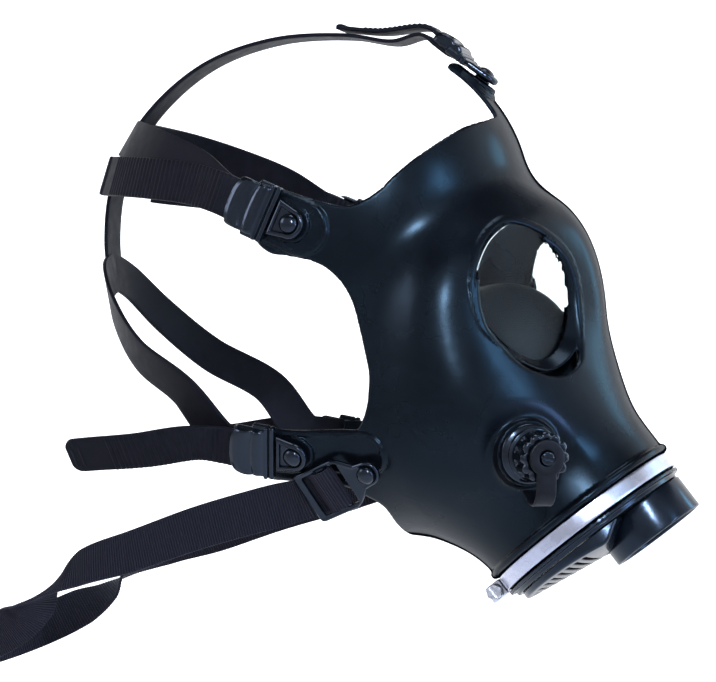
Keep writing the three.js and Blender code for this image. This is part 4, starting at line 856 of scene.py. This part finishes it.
def cover_distance(x, y, z):
    """A drum with a tilted slotted face that slopes down before the socket, hollow, with the socket's room cut out."""
    rise = math.tan(rad(COVER_TILT))
    face_height = COVER_LOW + 3.2 + rise * COVER_RADIUS
    (fs, fc), (ss, sc) = ((math.sin(rad(a)), math.cos(rad(a))) for a in (-COVER_TILT, 33))
    top = y * fs + (z - face_height) * fc
    slope = (y - 4.6) * ss + (z - face_height - rise * 4.6) * sc
    away = np.hypot(x, y)
    socket = np.hypot(x, y - SOCKET_OFFSET)
    lid = carve(carve(top, 0.978 * (top + 0.2125 * (np.abs(x) - 24)), 5), slope, 2)
    outer = carve(carve(np.maximum(away - COVER_RADIUS, COVER_LOW - z), lid, 1.3), 25.2 - socket, 0.8)
    inner = np.maximum(np.maximum(away - COVER_RADIUS + COVER_WALL, lid + COVER_WALL), 27.0 - socket)
    body = carve(outer, -inner, 0.5)
    order = np.clip(np.round(-y / SLOT_PITCH - 0.9), 0, SLOT_COUNT - 1)
    middle = -SLOT_PITCH * (order + 0.9)
    reach = np.sqrt(np.maximum(40.5**2 - middle**2, 36)) - 1.5
    slot_u, slot_v = np.abs(x) - reach + SLOT_HALF, np.abs(y - middle)
    slot = np.hypot(np.maximum(slot_u, 0), slot_v) - SLOT_HALF
    slot = np.maximum(slot, -top - 8)
    return carve(body, -slot, 0.8)


def base_distance(x, y, z):
    """A plate under the cover with a skirt inside the sleeve and a flange on its end, bored for the socket."""
    away = np.hypot(x, y)
    skirt = ring_distance(away, z, -12, 9.2, 41.45, 44.05, 0.5)
    flange = carve(np.maximum(away - 48.3, np.abs(z - 9.35) - 0.8), away * 0 - 50, 0.1)
    plate = carve(away - 45.8, np.abs(z - 10.45) - 1.9, 0.9)
    body = blend(np.minimum(skirt, flange), plate, 0.9)
    bore = np.hypot(x, y - SOCKET_OFFSET) - SOCKET_BORE
    return carve(body, -bore, 0.6)


def worm_housing_distance(x, y, z):
    """A pressed saddle over the screw, its roof pierced by slots that show the worm."""
    rise = -y
    roof = WORM_LINE + 4.4
    arch = np.hypot(np.maximum(np.abs(x) - 3.6, 0), np.maximum(rise - roof + 2.9, 0)) - 2.9
    body = carve(carve(arch, 48.7 - rise, 0.4), np.abs(z - WORM_MIDDLE) - 4.05, 0.9)
    bore = np.hypot(rise - WORM_LINE, z - WORM_MIDDLE) - 3.45
    windows = np.maximum(np.abs((x + 1.2) % 2.4 - 1.2) - 0.5, np.maximum(np.abs(x) - 4.5, roof - 2 - rise))
    windows = np.maximum(windows, np.abs(z - WORM_MIDDLE) - 2.9)
    return carve(body, -np.minimum(bore, windows), 0.5)


def screw_distance(x, y, z):
    """A worm on a shank under a hexagon head with a driver slot; z runs along it."""
    away, turn = np.hypot(x, y), np.arctan2(y, x)
    thread = 0.35 * np.cos(turn - 2 * math.pi * z / WORM_PITCH) * (np.abs(z) < 6.4)
    shank = np.maximum(away - 2.75 - thread * 0.9, np.maximum(-7.4 - z, z - 7.1))
    sector = (turn + math.pi / 6) % (math.pi / 3) - math.pi / 6
    hexagon = away * np.cos(sector) - 3.4
    head = carve(np.maximum(hexagon, 7 - z), carve(z - 10.4, away - 4.6 + (z - 10.4) * 0.9, 0.2), 0.5)
    slot = np.maximum(np.abs(y) - 0.5, 9.2 - z)
    return carve(np.minimum(shank, head), -slot, 0.3)


def button_distance(x, y, z):
    """A round button through the tether's eye with a turned screwdriver slot."""
    away = np.hypot(x, y)
    body = carve(away - 3.1, np.maximum(z - 26.75, 18.8 - z), 0.9)
    a = rad(77)
    slot = np.maximum(np.abs(-math.sin(a) * x + math.cos(a) * y) - 0.5, 25.75 - z)
    return carve(body, -slot, 0.35)


def port_notches(angle, height, radius):
    """Twelve finger notches round the cap's edge, above its foot."""
    turn = (angle * NOTCHES / (2 * math.pi)) % 1 - 0.5
    depth = 0.12 * np.exp(-((turn / 0.2) ** 2)) * np.clip((height - 14.4) / 0.8, 0, 1) * (radius > 8)
    return 1 - depth


def socket_thread(angle, height, radius):
    """A round thread cut inside the bore."""
    threaded = (radius < 21.2) & (height > 14) & (height < 27)
    groove = 0.018 * np.cos(2 * math.pi * height / THREAD_PITCH - angle) * threaded
    return 1 + groove


def lens_piece(name, side):
    """A flat clear pane: the eye's outline scaled from its middle to its rim, over a rounded edge, and back below."""
    top = -EYE_SEAT - GAP
    rim = 1 + 2 * (2.0 - EYE_TAPER) / EYE_HEIGHT
    half = [(0.04, 0), (0.3, 0), (0.6, 0), (0.85, 0), (0.985, 0), (0.996, 0.12), (1, 0.45)]
    rows = [(s, -h) for s, h in half] + [(s, h - PANE_THICKNESS) for s, h in half[::-1]]
    scale, height = np.array(rows).T[:, :, None]
    ring = np.stack([eye_outline[:, 0] * scale * rim, eye_outline[:, 1] * scale * rim,
                     top + height + 0 * eye_outline[:, 0]], -1).reshape(-1, 3)
    count, total = len(eye_outline), len(ring)
    index = np.arange(count)
    quads = grid_faces(len(rows), count)
    caps = [np.stack([index + low, np.roll(index, -1) + low, np.full(count, hub)], 1)
            for low, hub in ((0, total), (total - count, total + 1))]
    faces = np.concatenate([quads[:, [0, 1, 2]], quads[:, [0, 2, 3]], *caps])
    points = np.concatenate([ring, [[0, 0, top], [0, 0, top - PANE_THICKNESS]]])
    return tidied(mesh_piece(name, into(SIDES[side] @ eye_at, points), faces), 50)


def strip(turns, radius, thickness, depth):
    """A stretch of band at each turn and radius, with slots of a depth pressed into its outer face."""
    ring = section(BAND_WIDTH, thickness, 7, 0.35, 3)
    h, r = ring[:, 0] + BAND_MIDDLE, ring[:, 1]
    turns = turns[:, None]
    wave = np.cos(turns * (BAND_RADIUS + BAND_THICKNESS / 2) * 2 * math.pi / BAND_SLOT_PITCH)
    dent = depth * np.clip(wave * 3, 0, 1) * (np.abs(h - BAND_MIDDLE) < 2.4)
    reach = radius + r - dent * (r > 0)
    points = np.stack([reach * np.cos(turns), reach * np.sin(turns), h + 0 * reach], -1)
    return points.reshape(-1, 3), len(ring)


def band_piece():
    """The steel band: a rolled strip round the sleeve, its slots pressed in by the worm, and a tail that curls off."""
    turns = np.linspace(0, 2 * math.pi, 600, endpoint=False)
    near = np.abs((turns + math.pi / 2 + math.pi) % (2 * math.pi) - math.pi) < 0.36
    hoop, count = strip(turns, BAND_RADIUS, BAND_THICKNESS, 0.8 * near[:, None])
    t = np.linspace(0, 1, 60)
    tail, _ = strip(np.radians(-90 + 9 + t * 17), (48.75 + 7.6 * t**2.4)[:, None], 0.75, 0.3)
    faces = np.concatenate([wrapped_faces(600, count), grid_faces(60, count) + len(hoop)])
    return tidied(mesh_piece("steel_band", into(snout_at, np.concatenate([hoop, tail])), faces), 50, True)


def tether_piece():
    """A rubber eye over the cap and a tail that hangs from it and curls back under the port."""
    path = spline([(-down, 0, TETHER_LOW + 0.9 + rise) for down, rise in TETHER_RUN], 60)
    tangent = unit(np.gradient(path, axis=0))
    facing = np.stack([-tangent[:, 2], 0 * tangent[:, 0], tangent[:, 0]], 1)
    ring = section(TETHER_WIDTH, 1.6, 7, 0.7, 4)
    tail = path[:, None] + ring[None, :, :1] * np.array([0, 1.0, 0]) + ring[None, :, 1:] * facing[:, None]
    low, high = TETHER_LOW, TETHER_LOW + 1.8
    square = [(TETHER_EYE, low), (TETHER_DISC, low), (TETHER_DISC, high), (TETHER_EYE, high)]
    disc, disc_faces = swept(softened(square, 0.6), 96)
    points = np.concatenate([tail.reshape(-1, 3), disc])
    faces = np.concatenate([grid_faces(60, len(ring)), disc_faces + 60 * len(ring)])
    return tidied(mesh_piece("tether", into(port_at, points), faces), 50, True)


def stud(radius, low, foot):
    """A stud's profile: a foot, a shank and a domed head."""
    turn = np.radians(np.linspace(0, 82, 9))
    head = [(radius * math.cos(t), low + 2.6 * math.sin(t)) for t in turn]
    neck = low - 0.5
    return [*foot, (STUD_SHANK, foot[-1][1]), (STUD_SHANK, neck), (radius - 0.5, neck), *head, (0, low + 2.6)]


# Materials.

def linear(code):
    """A hex colour in sRGB turned to linear light."""
    parts = [int(code[i:i + 2], 16) / 255 for i in (1, 3, 5)]
    return (*[c / 12.92 if c <= 0.04045 else ((c + 0.055) / 1.055) ** 2.4 for c in parts], 1.0)


def add(tree, kind, settings=None, node=None, **inputs):
    """A node, or a given one, with its settings. An input is a value, a hex colour or another node's output, and
    i6 is the seventh."""
    node = node or tree.nodes.new("ShaderNode" + kind)
    for key, value in (settings or {}).items():
        setattr(node, key, value)
    for key, value in inputs.items():
        socket = node.inputs[int(key[1:]) if key[1:].isdigit() else key.replace("_", " ")]
        if isinstance(value, bpy.types.NodeSocket):
            tree.links.new(value, socket)
        else:
            socket.default_value = linear(value) if isinstance(value, str) else value
    return node


def finish(name, patterns, spreads, relief=(), colors=None, more=None, **inputs):
    """A material. patterns: noises by name, of a size in mm, a detail, a stretch and a roughness. spreads: shader
    inputs that go between two results as a pattern goes between two values. relief: patterns with a depth in mm,
    the lowest first. colors: the two that the first spread goes between. more(tree, made) adds other patterns."""
    material = bpy.data.materials.new(name)
    material.use_nodes = True
    tree = material.node_tree
    place = add(tree, "TexCoord").outputs["Object"]
    made = {"place": place, "edge": add(tree, "LayerWeight", Blend=0.5).outputs["Facing"]}
    for key, (size, detail, *rest) in patterns.items():
        stretch, rough = (*rest, *((1, 1, 1), 0.5)[len(rest):])
        vector = add(tree, "Mapping", Vector=place, Scale=stretch).outputs[0]
        made[key] = add(tree, "TexNoise", Vector=vector, Scale=1000 / size, Detail=detail,
                        Roughness=rough).outputs["Fac"]
    if more:
        more(tree, made)
    for key, (pattern, low, high, *span) in spreads.items():
        start, end = span or (0.3, 0.7)
        inputs[key] = add(tree, "MapRange", Value=made[pattern], From_Min=start, From_Max=end, To_Min=low,
                          To_Max=high).outputs[0]
    if colors:
        mix = add(tree, "Mix", {"data_type": "RGBA"}, Factor=inputs["Base_Color"], i6=colors[0], i7=colors[1])
        inputs["Base_Color"] = mix.outputs[2]
    for pattern, depth in relief:
        under = {"Normal": inputs["Normal"]} if "Normal" in inputs else {}
        inputs["Normal"] = add(tree, "Bump", Height=made[pattern], Distance=depth * MM, Strength=1.0,
                               **under).outputs[0]
    add(tree, "", node=next(n for n in tree.nodes if n.type == "BSDF_PRINCIPLED"), **inputs)
    return material


def weave(tree, made):
    """Warp yarns 0.8 mm apart, roughened by fuzz, and over them the ridges of the weft."""
    uv = add(tree, "UVMap", {"uv_map": "weave"}).outputs[0]
    warp = add(tree, "TexWave", {"bands_direction": "Y"}, Vector=uv, Scale=1000 / 0.8 * math.pi / 10,
               Distortion=0.4, Detail=1.0).outputs["Fac"]
    weft = add(tree, "TexWave", {"bands_direction": "X"}, Vector=uv, Scale=1000 / WEFT_PITCH * math.pi / 10,
               Distortion=0.0, Phase_Offset=math.pi).outputs["Fac"]
    soft = add(tree, "Math", {"operation": "MULTIPLY"}, i0=warp, i1=made["fuzz"]).outputs[0]
    made["both"] = add(tree, "Math", {"operation": "ADD"}, i0=soft, i1=weft).outputs[0]


def crystals(tree, made):
    made["mottle"] = add(tree, "TexVoronoi", Vector=made["place"], Scale=1000 / 0.8).outputs["Distance"]


# The x of each place on the stage, which grades the backdrop's painted glow.
def glow(tree, made):
    made["aside"] = add(tree, "SeparateXYZ", Vector=made["place"]).outputs[0]


# Black butyl rubber cured in a satin steel mould: a very fine even grain, a soft wide shine with a cold tint that
# fades at its edges, and faint wider patches where hands have polished it.
RUBBER = finish(
    "moulded_butyl_rubber", {"patches": (26, 3), "grain": (0.55, 4), "flow": (9, 2)},
    {"Base_Color": ("patches", 0, 1), "Roughness": ("patches", 0.22, 0.3),
     "Specular_IOR_Level": ("edge", 0.16, 0, 0.33, 0.84)},
    [("flow", 0.09), ("grain", 0.016)], ("#06070a", "#0a0c10"), IOR=1.52, Specular_Tint="#bfe0f5")
# The same rubber in the softer, duller mix of the inner cup, with a talc bloom.
CUP = finish(
    "soft_cup_rubber", {"bloom": (7, 4), "grain": (0.8, 3)},
    {"Base_Color": ("bloom", 0, 1), "Roughness": ("bloom", 0.48, 0.6)},
    [("grain", 0.02)], ("#0c1418", "#151f25"), IOR=1.5, Specular_IOR_Level=0.25)
# Pressed strap rubber: duller than the face, slightly purple, with wear that dulls it in patches.
STRAP = finish(
    "pressed_strap_rubber", {"wear": (5, 4), "grain": (0.5, 3)},
    {"Base_Color": ("wear", 0, 1), "Roughness": ("wear", 0.5, 0.62)},
    [("grain", 0.02)], ("#08070a", "#100e12"), IOR=1.5, Specular_IOR_Level=0.12, Specular_Tint="#d9dcf0")
# Thin injection-moulded rubber of the tether, with a soft shine.
TETHER = finish(
    "tether_rubber", {"haze": (3, 3), "grain": (0.4, 3)},
    {"Base_Color": ("haze", 0, 1), "Roughness": ("haze", 0.3, 0.42)},
    [("grain", 0.012)], ("#060609", "#0b0b10"), IOR=1.5, Specular_IOR_Level=0.16)
# Injection-moulded black nylon from a polished tool: clear reflections, slight waviness from the flow of the melt,
# and a few fine scuffs that dull it.
NYLON = finish(
    "gloss_black_nylon", {"waves": (6, 2), "scuffs": (1.6, 5, (1, 1, 5), 0.65), "fine": (0.5, 2)},
    {"Base_Color": ("waves", 0, 1), "Roughness": ("scuffs", 0.13, 0.27, 0.4, 0.75),
     "Specular_IOR_Level": ("edge", 0.38, 0, 0.4, 0.9)},
    [("fine", 0.004), ("waves", 0.035)], ("#040609", "#080b10"), IOR=1.53, Specular_Tint="#dbe9ff")
# Filled black housing plastic: harder than the rubber, with a faint blue cast and flow lines round the mould's gate.
HOUSING = finish(
    "housing_black_plastic", {"lines": (4, 3, (1, 1, 0.3)), "specks": (0.7, 4)},
    {"Base_Color": ("lines", 0, 1), "Roughness": ("specks", 0.14, 0.24),
     "Specular_IOR_Level": ("edge", 0.34, 0.01, 0.4, 0.9)},
    [("specks", 0.005), ("lines", 0.03)], ("#05080c", "#0a0f15"), IOR=1.55, Specular_Tint="#cfe3ff")
# Cold-rolled stainless band: bright, with fine rolling grain and finger marks that dull it.
STEEL = finish(
    "rolled_stainless_band", {"rolled": (0.35, 2), "marks": (7, 4)},
    {"Base_Color": ("marks", 0, 1), "Roughness": ("marks", 0.24, 0.31)},
    [("rolled", 0.008)], ("#b4b5c3", "#c6c6d3"), Metallic=1.0, Anisotropic=0.5)
# Zinc-plated steel of the screw and its saddle: bright, slightly yellow-grey, with a fine crystalline mottle.
ZINC = finish(
    "zinc_plated_steel", {"dull": (2.5, 4)}, {"Base_Color": ("dull", 0, 1), "Roughness": ("dull", 0.24, 0.42)},
    [("mottle", 0.006)], ("#b4b3b8", "#d6d5dc"), crystals, Metallic=1.0)
# Polyester webbing: ribs of weft crossed by the fine warp yarns, matt with a faint fuzz.
TAPE = finish(
    "polyester_webbing", {"fuzz": (0.3, 3)}, {"Base_Color": ("both", 0, 1, 0.3, 1.3)},
    [("both", 0.12)], ("#050407", "#1d1a23"), weave, Roughness=0.86, IOR=1.48, Specular_IOR_Level=0.2,
    Sheen_Weight=0.1, Sheen_Roughness=0.5, Sheen_Tint="#8f90a8")
# Moulded clear polycarbonate: nearly colourless, with a faint haze and a few wipe marks. Its index is matched down
# from 1.58, because the photo shows hardly any reflection in the panes.
PANE = finish(
    "clear_polycarbonate", {"wipes": (5, 4, (1, 1, 0.35))}, {"Roughness": ("wipes", 0.01, 0.04)},
    Base_Color="#f4fafa", IOR=1.2, Transmission_Weight=1.0, Specular_IOR_Level=0.25, Specular_Tint="#eaf4ff")
# Backdrop paper with painted light: it glows by emission, weak on the camera's side and strong towards +x behind the
# mask.
PAPER = finish(
    "glowing_backdrop_paper", {"tooth": (30, 3)},
    {"Base_Color": ("tooth", 0, 1), "Emission_Strength": ("aside", 0.12, 0.95, -0.4, 1.4)},
    [("tooth", 0.2)], ("#dcdde0", "#e6e6e9"), glow, Roughness=0.9, Emission_Color="#ffffff")


def put(piece, material, node):
    piece.data.materials.append(material)
    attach(piece, "root")
    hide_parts(node)


# The pieces.

put(mesh_piece("face_rubber_skin", *formed(facepiece_distance, (-84, -178, -146), (84, 8, 112), 1.15, 0.62)),
    RUBBER, "facepiece")
put(mesh_piece("inner_nose_cup", *formed(nose_cup_distance, (-52, -158, -132), (52, -72, 12), 1.1, 0.6)),
    CUP, "nose_cup")
put(harness_piece(), STRAP, "harness")
put(neck_piece(), TAPE, "neck_strap")

screw_at = placed(into(snout_at, np.array([0, -WORM_LINE, WORM_MIDDLE])), snout_axis, [-1, 0, 0])
for name, node, material, at, shape in (
    ("outlet_cover", "exhaust_cover", HOUSING, snout_at, (cover_distance, (-46, -46, 11), (46, 46, 27), 0.6, 0.7)),
    ("housing_plate", "housing_base", HOUSING, snout_at, (base_distance, (-51, -51, -14), (51, 51, 14), 0.95, 0.6)),
    ("worm_saddle", "clamp_housing", ZINC, snout_at, (worm_housing_distance, (-8, -60, -2), (8, -47, 10), 0.3)),
    ("worm_screw", "clamp_screw", ZINC, screw_at, (screw_distance, (-6, -6, -9), (6, 6, 12), 0.25)),
    ("port_cap_button", "port_button", NYLON, port_at, (button_distance, (-4, -4, 18), (4, 4, 28), 0.22)),
):
    put(carried(name, formed(*shape), at), material, node)
put(turned("socket_ring", SOCKET, socket_at, 128, 0.35, socket_thread), HOUSING, "filter_socket")
put(band_piece(), STEEL, "clamp_band")
put(turned("port_tube", PORT_TUBE, port_at, 128, 0.4), NYLON, "port_body")
put(turned("port_cap_shell", PORT_CAP, port_at, 240, 0.5, port_notches), NYLON, "port_cap")
put(tether_piece(), TETHER, "cap_tether")

buckle_shape = formed(buckle_distance, (-3, -14.5, 0), (22, 14.5, 10), 0.4, 0.5)
tongue_shape = formed(tongue_distance, (-19, -10, 0), (-1, 10, 6), 0.4)
loop_shape = formed(loop_distance, (-8, -15, -1), (36, 15, 4), 0.42)
buckles = [("brow_{}", "{}_top", top_at)]
for side, turn in SIDES.items():
    for label, at in (("temple", temple_at), ("jaw", jaw_buckle_at)):
        buckles.append((f"{label}_{{}}_{side}", f"{{}}_{label}_{side}", turn @ at))
    there = turn @ loop_at
    put(carried(f"neck_slide_{side}", loop_shape, there), NYLON, f"neck_loop_{side}")
    put(turned(f"neck_slide_stud_{side}", stud(4.2, 3.5, [(0, -2.15)]), there, 64, 0.25), NYLON, f"neck_stud_{side}")
    put(lens_piece(f"clear_pane_{side}", side), PANE, f"lens_{side}")
for name, node, at in buckles:
    put(carried(name.format("buckle"), buckle_shape, at), NYLON, node.format("buckle"))
    put(carried(name.format("tongue"), tongue_shape, at), NYLON, node.format("tongue"))
    put(turned(name.format("stud"), stud(4.4, 3.8, [(0, 0.35), (4, 0.35), (4, 1.05)]), shifted(at, -STUD_SPACING),
               64, 0.25), NYLON, node.format("stud"))


# Floor, light and camera.

def cyclorama():
    """A pale round stage: a flat floor, a wide fillet and a wall, carried round the middle, in metres."""
    turn = np.radians(np.linspace(-86, 0, 24))
    fillet = [(2.2 + math.cos(t), 0.38 + math.sin(t)) for t in turn]
    r, z = np.array([(0.02, -0.62), (1.0, -0.62), (2.2, -0.62), *fillet, (3.2, 2.8)]).T[:, :, None]
    a = np.linspace(0, 2 * math.pi, 96, endpoint=False)
    points = np.stack([r * np.cos(a), r * np.sin(a), z + 0 * a], -1).reshape(-1, 3)
    stage = mesh_piece("cyclorama", points / MM, grid_faces(len(r), 96))
    stage.data.materials.append(PAPER)


def softbox(name, place, aim, size, watts, color):
    data = bpy.data.lights.new(name, "AREA")
    data.shape, data.size, data.size_y = "RECTANGLE", *size
    data.energy, data.color = watts, linear(color)[:3]
    lamp = bpy.data.objects.new(name, data)
    bpy.context.scene.collection.objects.link(lamp)
    back = np.subtract(place, aim)
    lamp.matrix_world = Matrix(placed(place, np.cross([0, 0, 1.0], back), back).tolist())


cyclorama()
softbox("key", (-1.23, -0.5, 0.42), (-0.07, -0.08, 0), (0.07, 0.3), 19, "#cfe4ff")
softbox("front", (-0.55, -1.2, 0.3), (-0.05, -0.12, -0.03), (0.22, 0.4), 7, "#8fc4f2")
softbox("low", (-0.35, -1.25, -0.15), (-0.05, -0.12, -0.06), (0.2, 0.2), 4, "#a9c4ff")
softbox("top", (-0.1, -0.3, 1.25), (0, -0.05, 0), (0.7, 0.5), 7, "#e0ecff")
softbox("nose", (0.75, -1.05, 0.3), (0, -0.12, 0), (0.25, 0.7), 4, "#6fc4ee")
softbox("back", (-0.7, 0.95, 0.45), (0, 0, 0), (0.4, 0.5), 5, "#dde6ff")

scene = bpy.context.scene
scene.world = bpy.data.worlds.new("room")
scene.world.use_nodes = True
background = scene.world.node_tree.nodes["Background"]
background.inputs[0].default_value = linear("#f2f5fa")
background.inputs[1].default_value = 0.1
scene.view_settings.view_transform = "Standard"

camera_data = bpy.data.cameras.new("camera")
camera_data.lens, camera_data.sensor_width = 137.6, 36
camera_data.clip_start, camera_data.clip_end = 0.05, 20
scene.camera = bpy.data.objects.new("camera", camera_data)
scene.collection.objects.link(scene.camera)
ahead = np.array([math.cos(rad(15)), math.sin(rad(15)), 0])
target = np.array([0, -0.0256, -0.0242])
scene.camera.matrix_world = Matrix(placed(target - 1.3 * ahead, [ahead[1], -ahead[0], 0], -ahead).tolist())
